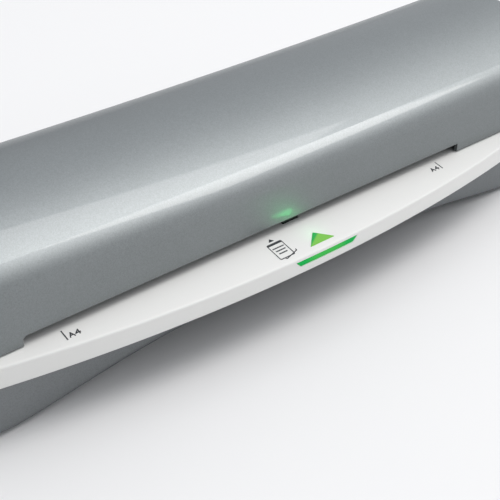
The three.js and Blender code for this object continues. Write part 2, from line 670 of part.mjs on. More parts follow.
// Involute gear outline: pairs of half-tooth angle against radius, mirrored round each tooth.
function gearOutline(teeth, turn) {
  const pitch = teeth * gearModule / 2;
  const base = pitch * Math.cos(pressureAngle);
  const tip = pitch + addendum;
  const root = pitch - 1.2 * gearModule;
  const involute = (angle) => Math.tan(angle) - angle;
  const half = Math.PI / (2 * teeth) - backlash / (4 * pitch);
  const start = half + involute(pressureAngle);
  const halfAt = (radius) => start - involute(Math.acos(Math.min(1, base / radius)));
  const radii = [0, 1 / 3, 2 / 3, 1].map((share) => base + (tip - base) * share);
  const flank = [[root, halfAt(base)], ...radii.map((radius) => [radius, halfAt(radius)])];
  const points = [];
  for (let tooth = 0; tooth < teeth; tooth += 1) {
    const middle = turn + 2 * Math.PI * tooth / teeth;
    flank.forEach(([radius, angle]) => points.push([radius, middle - angle]));
    flank.toReversed().forEach(([radius, angle]) => points.push([radius, middle + angle]));
  }
  return polygon(points.map(([radius, angle]) => [radius * Math.cos(angle), radius * Math.sin(angle)]));
}

function gear(teeth, turn, bore) {
  const shape = gearOutline(teeth, turn);
  shape.holes.push(new THREE.Path().absarc(0, 0, hole(bore + 0.05, 20), 0, 2 * Math.PI, true));
  return alongX(shape, gearX, gearX + gearWidth, 10);
}
add('lower_roller_gear', gear(rollerTeeth, 0, shaftRadius), naturalPlastic, lowerGroup);
add('upper_roller_gear', gear(rollerTeeth, Math.PI / rollerTeeth, shaftRadius), naturalPlastic, upperGroup);

function lowerBushing(side) {
  const plate = (side < 0 ? leftPlate : rightPlate) + side * plateThick;
  const bore = hole(shaftRadius + 0.08);
  const profile = [[bore, -plateThick - 0.6], [barrelRadius, -plateThick - 0.6], [barrelRadius, gap],
    [barrelRadius + 2, gap], [barrelRadius + 2, 2.5], [bore, 2.5], [bore, -plateThick - 0.6]];
  const geometry = turnedX(profile);
  if (side < 0) geometry.rotateZ(Math.PI);
  return geometry.translate(plate, rollerY, lowerZ);
}
add('lower_left_bushing', lowerBushing(-1), naturalPlastic);
add('lower_right_bushing', lowerBushing(1), naturalPlastic);

function upperBlock(side) {
  const plate = (side < 0 ? leftPlate : rightPlate) + side * plateThick;
  const order = (a, b) => [Math.min(a, b), Math.max(a, b)];
  const body = block(...order(plate + side * gap, plate + side * (gap + blockThick)),
    rollerY - blockHalf, rollerY + blockHalf, upperZ - blockHalf, upperZ + blockHalf);
  const barrelReach = order(plate - side * (plateThick + 0.6), plate + side * 2);
  const barrel = barX(barrelRadius, ...barrelReach, rollerY, upperZ);
  return cut(join(body, barrel), barX(hole(shaftRadius + 0.08), plate - 20, plate + 20, rollerY, upperZ));
}
add('upper_left_bearing', upperBlock(-1), naturalPlastic);
add('upper_right_bearing', upperBlock(1), naturalPlastic);

class Coil extends THREE.Curve {
  constructor(radius, height, turns) {
    super();
    Object.assign(this, { radius, height, turns });
  }

  getPoint(t, target = new THREE.Vector3()) {
    const angle = 2 * Math.PI * this.turns * t;
    return target.set(this.radius * Math.cos(angle), this.radius * Math.sin(angle), this.height * t);
  }
}

function pressureSpring(side) {
  const wire = 0.5;
  const foot = upperZ + blockHalf + gap + wire;
  const height = tabZ - gap - wire - foot;
  const section = new THREE.Shape().absarc(0, 0, wire, 0, 2 * Math.PI);
  const x = side < 0 ? leftPlate - plateThick - gap - blockThick / 2 : blockX + blockThick / 2;
  return new THREE.ExtrudeGeometry(section, {
    steps: 42, curveSegments: 3, bevelEnabled: false, extrudePath: new Coil(2.6, height, 4.5),
  }).translate(x, rollerY, foot);
}
add('left_pressure_spring', pressureSpring(-1), steel);
add('right_pressure_spring', pressureSpring(1), steel);

// ---- drive ---------------------------------------------------------------------------------
const motorScrewZ = [lowerZ - motorRadius + 5, lowerZ + motorRadius - 5];

function motorBracket() {
  const outline = roundedRectangle(motorY - 16, frameRear, lowerZ - 19, upperZ + 7.85, 4);
  const plate = alongX(outline, bracketX, bracketX + plateThick, 3);
  const legs = standoffs.map(([y, z]) =>
    barX(standoffRadius, rightPlate + plateThick + gap, bracketX + 0.5, y, z, 12));
  return cut(join(plate, ...legs),
    barX(hole(motorShaftRadius + 1), bracketX - 1, bracketX + 3, motorY, lowerZ),
    ...motorScrewZ.map((z) => barX(hole(screwRadius + slip, 12), bracketX - 1, bracketX + 3, motorY, z, 12)));
}
add('motor_bracket', motorBracket(), zinc);

function gearMotor() {
  const r = motorRadius;
  const body = turnedX([[0, 0], [r - 1, 0], [r, 1], [r, 11], [r - 2, 11.5], [r - 2, motorThick - 1],
    [r - 3, motorThick], [0, motorThick]], 32).translate(motorX, motorY, lowerZ);
  return cut(body,
    barX(hole(motorShaftRadius + 0.1), motorX - 1, motorX + 9, motorY, lowerZ),
    ...motorScrewZ.map((z) => barX(hole(screwRadius + slip, 12), motorX - 1, motorX + 7, motorY, z, 12)));
}
add('gear_motor', gearMotor(), steel);

motorScrewZ.forEach((z, i) => {
  const piece = screw(7, screwRadius, headRadius, 1.4).rotateZ(-Math.PI / 2);
  const mesh = add(`motor_screw_${i + 1}`, piece, zinc);
  mesh.position.set(bracketX - gap, motorY, z);
});

const driveGroup = new THREE.Group();
driveGroup.position.set(0, motorY, lowerZ);
laminator.add(driveGroup);
add('motor_shaft', barX(motorShaftRadius, gearX - 1, motorX + 8, 0, 0, 16), steel, driveGroup);
const pinion = gear(pinionTeeth, Math.PI - Math.PI / pinionTeeth, motorShaftRadius);
add('motor_pinion', pinion, naturalPlastic, driveGroup);

// ---- heaters -------------------------------------------------------------------------------
function heatShell(up) {
  const inner = rollerRadius + shellPlay;
  const outer = inner + shellThick;
  const from = THREE.MathUtils.degToRad(28);
  const shoulder = THREE.MathUtils.degToRad(60);
  const shape = new THREE.Shape();
  shape.moveTo(outer * Math.cos(from), outer * Math.sin(from));
  shape.absarc(0, 0, outer, from, shoulder);
  shape.lineTo(padHalf, outer + padRise);
  shape.lineTo(-padHalf, outer + padRise);
  shape.absarc(0, 0, outer, Math.PI - shoulder, Math.PI - from);
  shape.absarc(0, 0, inner, Math.PI - from, from, true);
  const geometry = alongX(shape, leftPlate + gap, rightPlate - gap, 5);
  return up ? geometry : geometry.rotateX(Math.PI);
}
add('upper_heat_shell', heatShell(true), aluminium, upperGroup);
add('lower_heat_shell', heatShell(false), aluminium, lowerGroup);

const padTop = rollerRadius + shellPlay + shellThick + padRise;
const heaterLow = padTop + gap / 2;
const heater = (side) => block(sleeveLow + 8, sleeveHigh - 8, -padHalf + 1, padHalf - 1,
  Math.min(side * heaterLow, side * (heaterLow + heaterThick)),
  Math.max(side * heaterLow, side * (heaterLow + heaterThick)));
add('upper_heater', heater(1), mica, upperGroup);
add('lower_heater', heater(-1), mica, lowerGroup);

const heaterTop = heaterLow + heaterThick + gap / 2;
const thermostatX = slotX - 20;
const fuseX = slotX + 40;

function thermostat() {
  const tabs = block(-12, 12, -3, 3, 0, 0.8);
  const can = turnedZ([[0, 0], [7, 0], [7, 4], [5.6, 4.6], [5.6, 7], [0, 7]], 20);
  return join(can, tabs).translate(thermostatX, 0, heaterTop);
}
add('thermostat', thermostat(), darkPlastic, upperGroup);

const fuse = turnedX([[0, -14], [0.6, -14], [0.6, -6], [1.8, -5.4], [1.8, 5.4], [0.6, 6], [0.6, 14],
  [0, 14]], 12);
add('thermal_fuse', fuse.translate(fuseX, 0, heaterTop + 1.9), zinc, upperGroup);

// ---- paper guides --------------------------------------------------------------------------
const guideLow = leftPlate + gap;
const guideHigh = rightPlate - gap;
const farRoller = rollerRadius + 5;
const guideFloor = pathZ - guideGap / 2;
const guideRoof = pathZ + guideGap / 2;
const exitEnd = rearY - wall - 0.6;

function guide(points) {
  return alongX(polygon(points), guideLow, guideHigh);
}

// Each guide is a bent sheet: a flared mouth and a straight lip that ends beside the rollers.
const entryTip = rollerY - farRoller;
add('entry_guide_lower', guide([[trayRear + gap, trayZ - 2.4], [entryTip, guideFloor - guideThick],
  [entryTip, guideFloor], [trayRear + 4, guideFloor], [trayRear + gap, trayZ - 0.3]]), darkPlastic);
add('entry_guide_upper', guide([[faceY + wall + 2.6, slotZ + 1.2], [trayRear + 4, guideRoof],
  [entryTip, guideRoof], [entryTip, guideRoof + guideThick], [trayRear + 4, guideRoof + guideThick],
  [faceY + wall + 2.6, slotZ + 1.2 + guideThick]]), darkPlastic);
const exitTip = rollerY + farRoller;
const flareY = exitEnd - 8;
add('exit_guide_lower', guide([[exitTip, guideFloor - guideThick], [flareY, guideFloor - guideThick],
  [exitEnd, jointZ - 1 - guideThick], [exitEnd, jointZ - 1], [flareY, guideFloor],
  [exitTip, guideFloor]]), darkPlastic);
add('exit_guide_upper', guide([[exitTip, guideRoof], [flareY, guideRoof], [exitEnd, jointZ + exitHeight - 1],
  [exitEnd, jointZ + exitHeight - 1 + guideThick], [flareY, guideRoof + guideThick],
  [exitTip, guideRoof + guideThick]]), darkPlastic);

// ---- mains inlet ---------------------------------------------------------------------------
const inletRear = rearY - 0.2;
const inletDepth = 15;
const pinSpread = 4.3;

function mainsInlet() {
  const body = alongY(inletOutline(0), inletRear - inletDepth, inletRear, 3);
  const flange = alongY(inletOutline(3), rearY - wall - gap - 2, rearY - wall - gap, 3);
  return cut(join(body, flange), alongY(inletOutline(-1.8), inletRear - inletDepth + 3, inletRear + 1, 3));
}
add('mains_inlet', mainsInlet(), darkPlastic);

[-1, 1].forEach((side, i) => {
  add(`inlet_pin_${i + 1}`, barY(1.15, inletRear - inletDepth + 3 + gap, inletRear - 3,
    inletX + side * pinSpread, inletZ, 12), brass);
});

// ---- feet and case screws ------------------------------------------------------------------
const foot = [[0, 0], [footRadius - 0.6, 0], [footRadius, 0.6], [footRadius, footTop], [footStud, footTop],
  [footStud, footTop + 2.6], [0, footTop + 2.6]];
const sides = [-1, 1];
sides.forEach((side, i) => footYs.forEach((y, j) => {
  const mesh = add(`rubber_foot_${2 * i + j + 1}`, turnedZ(foot, 24), rubber);
  mesh.position.set(side * footX, y, 0);
}));
sides.forEach((side, i) => postYs.forEach((y, j) => {
  const mesh = add(`case_screw_${2 * i + j + 1}`, screw(screwLength).rotateX(Math.PI / 2), zinc);
  mesh.position.set(side * postX, y, headSeatZ - gap);
}));

export default laminator;
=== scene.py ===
import json
import math

import bmesh
import bpy
import numpy as np
from bpy.props import FloatProperty, FloatVectorProperty, PointerProperty
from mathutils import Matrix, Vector


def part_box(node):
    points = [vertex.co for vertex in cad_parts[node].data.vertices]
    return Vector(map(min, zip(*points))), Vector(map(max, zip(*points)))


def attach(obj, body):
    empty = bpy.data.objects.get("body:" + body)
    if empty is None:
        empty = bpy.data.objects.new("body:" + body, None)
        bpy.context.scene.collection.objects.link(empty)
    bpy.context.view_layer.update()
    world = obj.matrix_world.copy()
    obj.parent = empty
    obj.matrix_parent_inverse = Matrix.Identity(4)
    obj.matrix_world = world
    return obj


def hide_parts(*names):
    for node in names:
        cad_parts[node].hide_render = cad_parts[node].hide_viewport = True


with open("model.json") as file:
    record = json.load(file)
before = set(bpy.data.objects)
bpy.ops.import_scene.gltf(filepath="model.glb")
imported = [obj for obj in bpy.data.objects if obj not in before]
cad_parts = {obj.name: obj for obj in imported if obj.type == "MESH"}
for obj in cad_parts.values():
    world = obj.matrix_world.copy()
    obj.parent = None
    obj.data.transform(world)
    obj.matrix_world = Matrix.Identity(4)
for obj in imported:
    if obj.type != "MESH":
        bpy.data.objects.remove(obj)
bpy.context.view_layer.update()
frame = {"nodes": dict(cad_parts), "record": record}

bl_info = {
    "name": "Pouch laminator looks",
    "version": (1, 0, 0),
    "blender": (4, 5, 0),
    "location": "3D View > Sidebar > Laminator",
    "description": "Builds the shells, lit parts, marks, finishes and stage of a pouch laminator round its frame",
    "category": "Object",
}

MM = 0.001
HOUSING_LOW, HOUSING_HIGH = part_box("lower_housing")
TRAY_LOW, TRAY_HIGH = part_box("entry_tray")
FACE_Y = HOUSING_LOW.y
REAR_Y = HOUSING_HIGH.y
HALF_WIDTH = HOUSING_HIGH.x
JOINT_Z = HOUSING_HIGH.z


# ---- settings --------------------------------------------------------------------------------
def length(name, millimetres, text):
    return FloatProperty(name=name, description=text, default=millimetres * MM, unit="LENGTH",
                         subtype="DISTANCE", precision=5)


def angle(name, degrees, text):
    return FloatProperty(name=name, description=text, default=math.radians(degrees), unit="ROTATION",
                         subtype="ANGLE")


def colour(name, red, green, blue, text):
    return FloatVectorProperty(name=name, description=text, default=(red, green, blue), size=3,
                               subtype="COLOR", min=0, soft_max=1)


class CoverSizes(bpy.types.PropertyGroup):
    """Sizes of the silver cover."""
    slot_z: length("Slot edge", 46, "Height of the cover's edge over the entry slot")
    slot_left: length("Slot left", -143.2, "Left end of the entry slot")
    slot_right: length("Slot right", 105.2, "Right end of the entry slot")
    slot_corner: length("Slot corner", 2, "Rounding of the slot's left corner")
    exit_rise: length("Exit slot", 8, "Height of the exit slot in the rear wall")
    wall: length("Wall", 2.4, "Wall of the cover")
    joint_gap: length("Joint gap", 0.3, "Gap between the cover and the housing")
    lip: length("Lip", 0.7, "Rounding of the cover's lower edge")
    face_lean: angle("Face lean", 3.2, "How far the front face leans back")
    nose_radius: length("Nose radius", 20, "Rounding between the face and the crease")
    nose_rise: length("Nose rise", 16.3, "Centre of the nose above the slot edge")
    crease_radius: length("Crease radius", 0.8, "Rounding of the crease itself")
    crown_radius: length("Crown radius", 80, "Arc of the long top")
    crown_back: length("Crown set-back", 50, "Crest of the crown behind the face")
    crown_z: length("Crown height", 89.26, "Crest of the crown above the table")
    heel_radius: length("Heel radius", 14, "Rounding into the rear wall")
    end_round: length("End rounding", 12, "Rounding of the two ends")
    end_lift: FloatProperty(name="End lift", description="Rise of the top by distance squared, per metre",
                            default=0.1)


class HousingSizes(bpy.types.PropertyGroup):
    """Sizes of the dark lower housing."""
    arch_z: length("Arch height", 12, "Underside of the middle above the table")
    arch_flat: length("Arch flat", 50, "Half the flat stretch of the arch")
    heel_x: length("Heel place", 156, "Lowest line of the housing from the middle")
    heel_z: length("Heel height", 1, "Lowest line of the housing above the table")
    heel_ease: length("Heel ease", 20, "How flat the arch starts beside its lowest line")
    end_rise: length("End rise", 29, "Height of the rounding under each end")
    edge_round: length("Edge rounding", 4, "Rounding of the long lower edges")
    end_blend: length("End blend", 8, "How much rounder the lower edges become at the ends")
    corner_round: length("Corner rounding", 12, "Rounding of the upright corners")
    wall: length("Wall", 2.4, "Wall of the housing")


class TraySizes(bpy.types.PropertyGroup):
    """Sizes of the white entry tray and what is in it."""
    reach: length("Reach", 19.3, "How far the tray stands out at its middle")
    tip: length("Tip", 178, "Half the width of the bow")
    slope: angle("Slope", 7.6, "Fall of the tray's top towards its front")
    edge_round: length("Edge rounding", 1.1, "Rounding of the upper front edge")
    wall: length("Wall", 2, "Wall of the tray")
    lamp_half: length("Lamp half width", 7.15, "Half the base of the lit arrow")
    lamp_depth: length("Lamp depth", 7.1, "Length of the lit arrow")
    lamp_setback: length("Lamp set-back", 8.4, "Apex of the arrow in front of the slot")
    bar_z: length("Bar height", 35.6, "Middle of the lit start bar above the table")
    bar_thick: length("Bar thickness", 2.6, "Height of the start bar")
    bar_top: length("Bar top", 18.3, "Half the upper edge of the start bar")
    bar_bottom: length("Bar bottom", 15.6, "Half the lower edge of the start bar")


class Finishes(bpy.types.PropertyGroup):
    """Colours of the finishes."""
    silver: colour("Silver", 0.228, 0.246, 0.250, "Metallic lacquer of the cover")
    grey: colour("Grey", 0.230, 0.243, 0.250, "Metallic lacquer of the housing")
    white: colour("White", 0.84, 0.835, 0.81, "Plastic of the tray")
    dark: colour("Dark", 0.018, 0.019, 0.021, "Matt inner plastic")
    ink: colour("Ink", 0.03, 0.034, 0.04, "Printed marks")
    arrow_dark: colour("Arrow, dark part", 0.008, 0.40, 0.07, "Lit arrow near its tip")
    arrow_light: colour("Arrow, light part", 0.195, 0.55, 0.075, "Lit arrow near its base")
    bar_end: colour("Bar ends", 0.002, 0.40, 0.070, "Ends of the lit bar")
    bar_middle: colour("Bar middle", 0.045, 0.47, 0.075, "Middle of the lit bar")


class StageSettings(bpy.types.PropertyGroup):
    """Camera and light."""
    camera_place: FloatVectorProperty(name="Camera", description="Where the camera stands", size=3,
                                      default=(-0.2602, -0.3442, 0.3085), subtype="TRANSLATION", unit="LENGTH")
    camera_turn: angle("Camera turn", 37.864, "Camera heading from +Y towards +X")
    camera_fall: angle("Camera fall", 35.73, "Camera tilt below the horizon")
    lens: FloatProperty(name="Lens", description="Focal length in millimetres", default=73.45)
    floor: colour("Floor", 0.87, 0.865, 0.86, "Pale plain floor")
    sky_bright: colour("Bright sky", 1.06, 1.08, 1.12, "Studio light behind and above")
    sky_dim: colour("Dim sky", 0.16, 0.17, 0.18, "Studio light on the near left")
    sky_turn: angle("Sky turn", 82, "Heading of the brightest sky from +Y towards +X")
    sky_rise: angle("Sky rise", 50, "Height of the brightest sky")
    sky_dark_from: FloatProperty(name="Sky dim below", description="Cosine to the brightest sky below which it is dim",
                                 default=-0.15)
    sky_full_from: FloatProperty(name="Sky bright above", description="Cosine above which the sky is brightest",
                                 default=0.75)
    key_turn: angle("Key turn", 122, "Heading of the key light from +Y towards +X")
    key_rise: angle("Key rise", 68, "Height of the key light above the horizon")
    key_distance: length("Key distance", 2000, "Distance of the key light")
    key_power: FloatProperty(name="Key power", description="Power of the key light in watts", default=14)
    strip_turn: angle("Strip turn", 138, "Heading of the strip light that the nose shows")
    strip_rise: angle("Strip rise", 41, "Height of the strip light above the horizon")
    strip_width: length("Strip width", 700, "Width of the strip light")
    strip_height: length("Strip height", 1100, "Height of the strip light")
    strip_power: FloatProperty(name="Strip power", description="Power of the strip light in watts", default=20)
    glow_power: FloatProperty(name="Glow power", description="Power of the lamp's own glow in watts",
                              default=0.00009, precision=6)


# ---- outlines --------------------------------------------------------------------------------
def arc(centre, radius, start, end, steps):
    """Points on a circle from one angle to another, both included."""
    turn = np.linspace(start, end, steps + 1)
    return np.column_stack([centre[0] + radius * np.cos(turn), centre[1] + radius * np.sin(turn)])


def line(start, end, steps):
    share = np.linspace(0, 1, steps + 1)[:, None]
    return np.asarray(start) * (1 - share) + np.asarray(end) * share


def heading(centre, point):
    return math.atan2(point[1] - centre[1], point[0] - centre[0])


def circle_crossing(a, radius_a, b, radius_b):
    """The crossing of two circles on the right of the way from a to b."""
    way = np.subtract(b, a)
    distance = np.hypot(*way)
    along = (radius_a ** 2 - radius_b ** 2 + distance ** 2) / (2 * distance)
    aside = math.sqrt(radius_a ** 2 - along ** 2)
    way = way / distance
    return np.array([a[0] + way[0] * along + way[1] * aside, a[1] + way[1] * along - way[0] * aside])


def chain(*stretches):
    """Stretches of outline end to end, with their shared points once."""
    return np.vstack([stretches[0]] + [stretch[1:] for stretch in stretches[1:]])


# ---- meshes ----------------------------------------------------------------------------------
def make_piece(name, vertices, faces, sharp=35):
    mesh = bpy.data.meshes.new(name)
    mesh.from_pydata([tuple(v) for v in vertices], [], faces)
    working = bmesh.new()
    working.from_mesh(mesh)
    bmesh.ops.recalc_face_normals(working, faces=working.faces)
    working.to_mesh(mesh)
    working.free()
    piece = bpy.data.objects.new(name, mesh)
    bpy.context.scene.collection.objects.link(piece)
    smooth(piece, sharp)
    return piece


def smooth(piece, sharp=35):
    piece.data.shade_smooth()
    piece.data.set_sharp_from_angle(angle=math.radians(sharp))


def grid_faces(rows, columns, offset):
    at = lambda i, j: offset + i * columns + j
    return [(at(i, j), at(i, j + 1), at(i + 1, j + 1), at(i + 1, j))
            for i in range(rows - 1) for j in range(columns - 1)]


def lid_faces(columns, offset):
    """A flat end over one section, as strips from its first half to its second."""
    faces = []
    for j in range(columns // 2):
        corners = dict.fromkeys([j, j + 1, columns - 2 - j, columns - 1 - j])
        if len(corners) > 2 and j + 1 <= columns - 2 - j:
            faces.append(tuple(offset + corner for corner in corners))
    return faces


def make_shell(name, section, stations, wall, lip, sharp=35):
    """A thin-walled shell, open along its rim, with the rim's two edges rounded.

    section(i, inset, back) is the outline at station i, inset from the outside,
    starting and ending that far back from the rim, as rows of x, y and z.
    """
    bends = [(lip * (1 - math.cos(a)), lip * (1 - math.sin(a))) for a in np.linspace(0, math.pi / 2, 5)]
    rounds = bends + [(wall - inset, back) for inset, back in reversed(bends)]
    vertices, faces, rings = [], [], []
    for k, (inset, back) in enumerate(rounds):
        sections = [section(i, inset, back) for i in range(stations)]
        offset = len(vertices)
        columns = len(sections[0])
        if k in (0, len(rounds) - 1):
            vertices += [point for outline in sections for point in outline]
            faces += grid_faces(stations, columns, offset)
            faces += lid_faces(columns, offset) + lid_faces(columns, offset + (stations - 1) * columns)
            near = [offset + i * columns for i in range(stations)]
            far = [start + columns - 1 for start in near]
        else:
            vertices += [outline[end] for outline in sections for end in (0, -1)]
            near = [offset + 2 * i for i in range(stations)]
            far = [start + 1 for start in near]
        rings.append(near + far[::-1])
    for inner, outer in zip(rings, rings[1:]):
        for q in range(len(inner)):
            following = (q + 1) % len(inner)
            faces.append((inner[q], inner[following], outer[following], outer[q]))
    return make_piece(name, vertices, faces, sharp)


def make_prism(name, outline, low, high, to_space, bevel=0.0, segments=3):
    """An outline of two coordinates made solid between two levels, placed by to_space."""
    count = len(outline)
    vertices = [to_space(u, v, level) for level in (low, high) for u, v in outline]
    sides = [(i, (i + 1) % count, count + (i + 1) % count, count + i) for i in range(count)]
    piece = make_piece(name, vertices, [tuple(range(count)), tuple(range(count, 2 * count))] + sides)
    if bevel:
        round_edges(piece, bevel, segments)
    return piece


def round_edges(piece, width, segments=3, limit=30):
    modifier = piece.modifiers.new("rounded edges", "BEVEL")
    modifier.width = width
    modifier.segments = segments
    modifier.limit_method = "ANGLE"
    modifier.angle_limit = math.radians(limit)
    modifier.harden_normals = True
    return modifier


def settle(piece):
    """Turns the piece's modifiers into its own mesh."""
    evaluated = piece.evaluated_get(bpy.context.evaluated_depsgraph_get())
    mesh = bpy.data.meshes.new_from_object(evaluated)
    piece.modifiers.clear()
    piece.data = mesh
    return piece


def cut_away(piece, *cutters):
    for cutter in cutters:
        modifier = piece.modifiers.new("opening", "BOOLEAN")
        modifier.operation = "DIFFERENCE"
        modifier.solver = "EXACT"
        modifier.object = cutter
    bpy.context.view_layer.update()
    settle(piece)
    for cutter in cutters:
        bpy.data.objects.remove(cutter)
    smooth(piece)
    return piece


def join_pieces(name, pieces):
    """Several meshes as one piece, with their modifiers applied and their finishes kept."""
    for piece in pieces:
        if piece.modifiers:
            settle(piece)
    with bpy.context.temp_override(active_object=pieces[0], selected_editable_objects=pieces):
        bpy.ops.object.join()
    pieces[0].name = name
    return pieces[0]


# ---- finishes --------------------------------------------------------------------------------
class Wire:
    """A number or colour on its way through a finish. Arithmetic on it adds Math nodes."""

    def __init__(self, finish, socket):
        self.finish = finish
        self.socket = socket

    def maths(self, operation, *values):
        settings = {"operation": operation}
        return self.finish.node("ShaderNodeMath", settings, dict(enumerate(values)))

    def __add__(self, other):
        return self.maths("ADD", self, other)

    def __sub__(self, other):
        return self.maths("SUBTRACT", self, other)

    def __rsub__(self, other):
        return self.maths("SUBTRACT", other, self)

    def __mul__(self, other):
        return self.maths("MULTIPLY", self, other)

    def __truediv__(self, other):
        return self.maths("DIVIDE", self, other)

    def __pow__(self, other):
        return self.maths("POWER", self, other)

    def __gt__(self, other):
        return self.maths("GREATER_THAN", self, other)

    def __lt__(self, other):
        return self.maths("LESS_THAN", self, other)

    def size(self):
        return self.maths("ABSOLUTE", self)

    __radd__ = __add__
    __rmul__ = __mul__


class Maker:
    """Makes the nodes of one tree."""

    def __init__(self, tree):
        self.tree = tree

    def node(self, kind, settings=None, inputs=None, output=0):
        made = self.tree.nodes.new(kind)
        for key, value in (settings or {}).items():
            setattr(made, key, value)
        for key, value in (inputs or {}).items():
            if isinstance(value, Wire):
                self.tree.links.new(value.socket, made.inputs[key])
            else:
                made.inputs[key].default_value = value
        return Wire(self, made.outputs[output])

    def mix(self, factor, first, second):
        return self.node("ShaderNodeMix", {"data_type": "RGBA"}, {0: factor, 6: first, 7: second}, output=2)


class Finish(Maker):
    """A procedural material, written as expressions."""

    def __init__(self, name, **constants):
        self.material = bpy.data.materials.new(name)
        self.material.use_nodes = True
        super().__init__(self.material.node_tree)
        self.shader = self.tree.nodes["Principled BSDF"]
        for socket, value in constants.items():
            self.shader.inputs[socket.replace("_", " ")].default_value = value
        self.place = self.node("ShaderNodeTexCoord", output="Object")

    def feed(self, socket, wire):
        self.tree.links.new(wire.socket, self.shader.inputs[socket])

    def axis(self, letter):
        return self.node("ShaderNodeSeparateXYZ", inputs={0: self.place}, output=letter)

    def noise(self, scale, detail=2.0, roughness=0.5, place=None):
        return self.node("ShaderNodeTexNoise", inputs={
            "Vector": place or self.place, "Scale": scale, "Detail": detail, "Roughness": roughness})

    def cells(self, scale):
        return self.node("ShaderNodeTexVoronoi", {"feature": "F1"}, {"Vector": self.place, "Scale": scale},
                         output="Color")

    def stretched(self, x, y, z):
        return self.node("ShaderNodeMapping", inputs={"Vector": self.place, "Scale": (x, y, z)})

    def brightness(self, wire):
        return self.node("ShaderNodeRGBToBW", inputs={0: wire})

    def spread(self, wire, low, high):
        """Maps a wire's 0 to 1 onto low to high."""
        return wire * (high - low) + low

    def bump(self, height, strength, distance):
        self.feed("Normal", self.node("ShaderNodeBump", inputs={
            "Height": height, "Strength": strength, "Distance": distance}))


def rgba(rgb, scale=1.0):
    return (rgb[0] * scale, rgb[1] * scale, rgb[2] * scale, 1.0)


def lacquer(name, rgb, metallic, rough, coat):
    """Metallic lacquer: fine flakes of several tones under a clear coat."""
    finish = Finish(name, Metallic=metallic, Coat_Weight=coat, Coat_Roughness=0.05, Coat_IOR=1.5,
                    Specular_Tint=(0.4, 0.41, 0.42, 1))
    flakes = finish.brightness(finish.cells(2600))
    mottle = finish.noise(900, 3, 0.6)
    clouds = finish.noise(35, 2, 0.5)
    tone = flakes * 0.5 + mottle * 0.35 + clouds * 0.15
    finish.feed("Base Color", finish.mix(tone, rgba(rgb, 0.80), rgba(rgb, 1.22)))
    finish.feed("Roughness", finish.spread(mottle, rough - 0.04, rough + 0.05))
    finish.bump(flakes + mottle * 0.6, 0.10, 0.00005)
    return finish.material


def moulded(name, rgb, rough, grain=1400, depth=0.00003, variation=0.04, **constants):
    """Moulded plastic with a fine spark-eroded grain."""
    finish = Finish(name, **constants)
    fine = finish.noise(grain, 3, 0.55)
    broad = finish.noise(40, 2, 0.5)
    finish.feed("Base Color", finish.mix(broad, rgba(rgb, 1 - variation), rgba(rgb, 1 + variation)))
    finish.feed("Roughness", finish.spread(fine, rough - 0.05, rough + 0.05))
    finish.bump(fine, 0.25, depth)
    return finish.material


def worked_metal(name, rgb, rough, along="X", blotch=0.0):
    """Bare metal with the fine lines of its working along one axis."""
    finish = Finish(name, Metallic=1.0)
    scale = {"X": (0.02, 1, 1), "Y": (1, 0.02, 1), "Z": (1, 1, 0.02)}[along]
    lines = finish.noise(3500, 2, 0.6, finish.stretched(*scale))
    stain = finish.noise(160, 4, 0.6)
    finish.feed("Base Color", finish.mix(lines * (1 - blotch) + stain * blotch, rgba(rgb, 0.82), rgba(rgb, 1.1)))
    finish.feed("Roughness", finish.spread(stain, rough - 0.07, rough + 0.09))
    finish.bump(lines, 0.15, 0.00002)
    return finish.material


def lit_arrow(colours, apex_y, depth):
    """The lamp: a deeper green at its tip, lighter towards its base and its right."""
    finish = Finish("lit_arrow", Roughness=0.3, Specular_IOR_Level=0.3, Emission_Strength=0.8)
    back = (apex_y - finish.axis("Y")) * (1 / depth)
    right = finish.axis("X") * (1 / depth)
    share = finish.node("ShaderNodeMapRange", {"clamp": True},
                        {"Value": back + right * 0.6, "From Min": 0.30, "From Max": 0.46,
                         "To Min": 0.0, "To Max": 1.0})
    finish.feed("Base Color", finish.mix(share, rgba(colours.arrow_dark, 0.2), rgba(colours.arrow_light, 0.2)))
    finish.feed("Emission Color", finish.mix(share, rgba(colours.arrow_dark), rgba(colours.arrow_light)))
    return finish.material


def lit_bar(colours, half):
    """The start bar: a lighter lit middle between darker ends."""
    finish = Finish("lit_bar", Roughness=0.35, Specular_IOR_Level=0.1, Emission_Strength=0.85)
    away = finish.axis("X").size()
    share = finish.node("ShaderNodeMapRange", {"clamp": True, "interpolation_type": "SMOOTHSTEP"},
                        {"Value": away, "From Min": half * 0.35, "From Max": half * 0.75,
                         "To Min": 0.0, "To Max": 1.0})
    finish.feed("Emission Color", finish.mix(share, rgba(colours.bar_middle), rgba(colours.bar_end)))
    finish.feed("Base Color", finish.mix(share, rgba(colours.bar_middle, 0.15), rgba(colours.bar_end, 0.15)))
    return finish.material


def paint(piece, material):
    piece.data.materials.clear()
    piece.data.materials.append(material)
    return piece


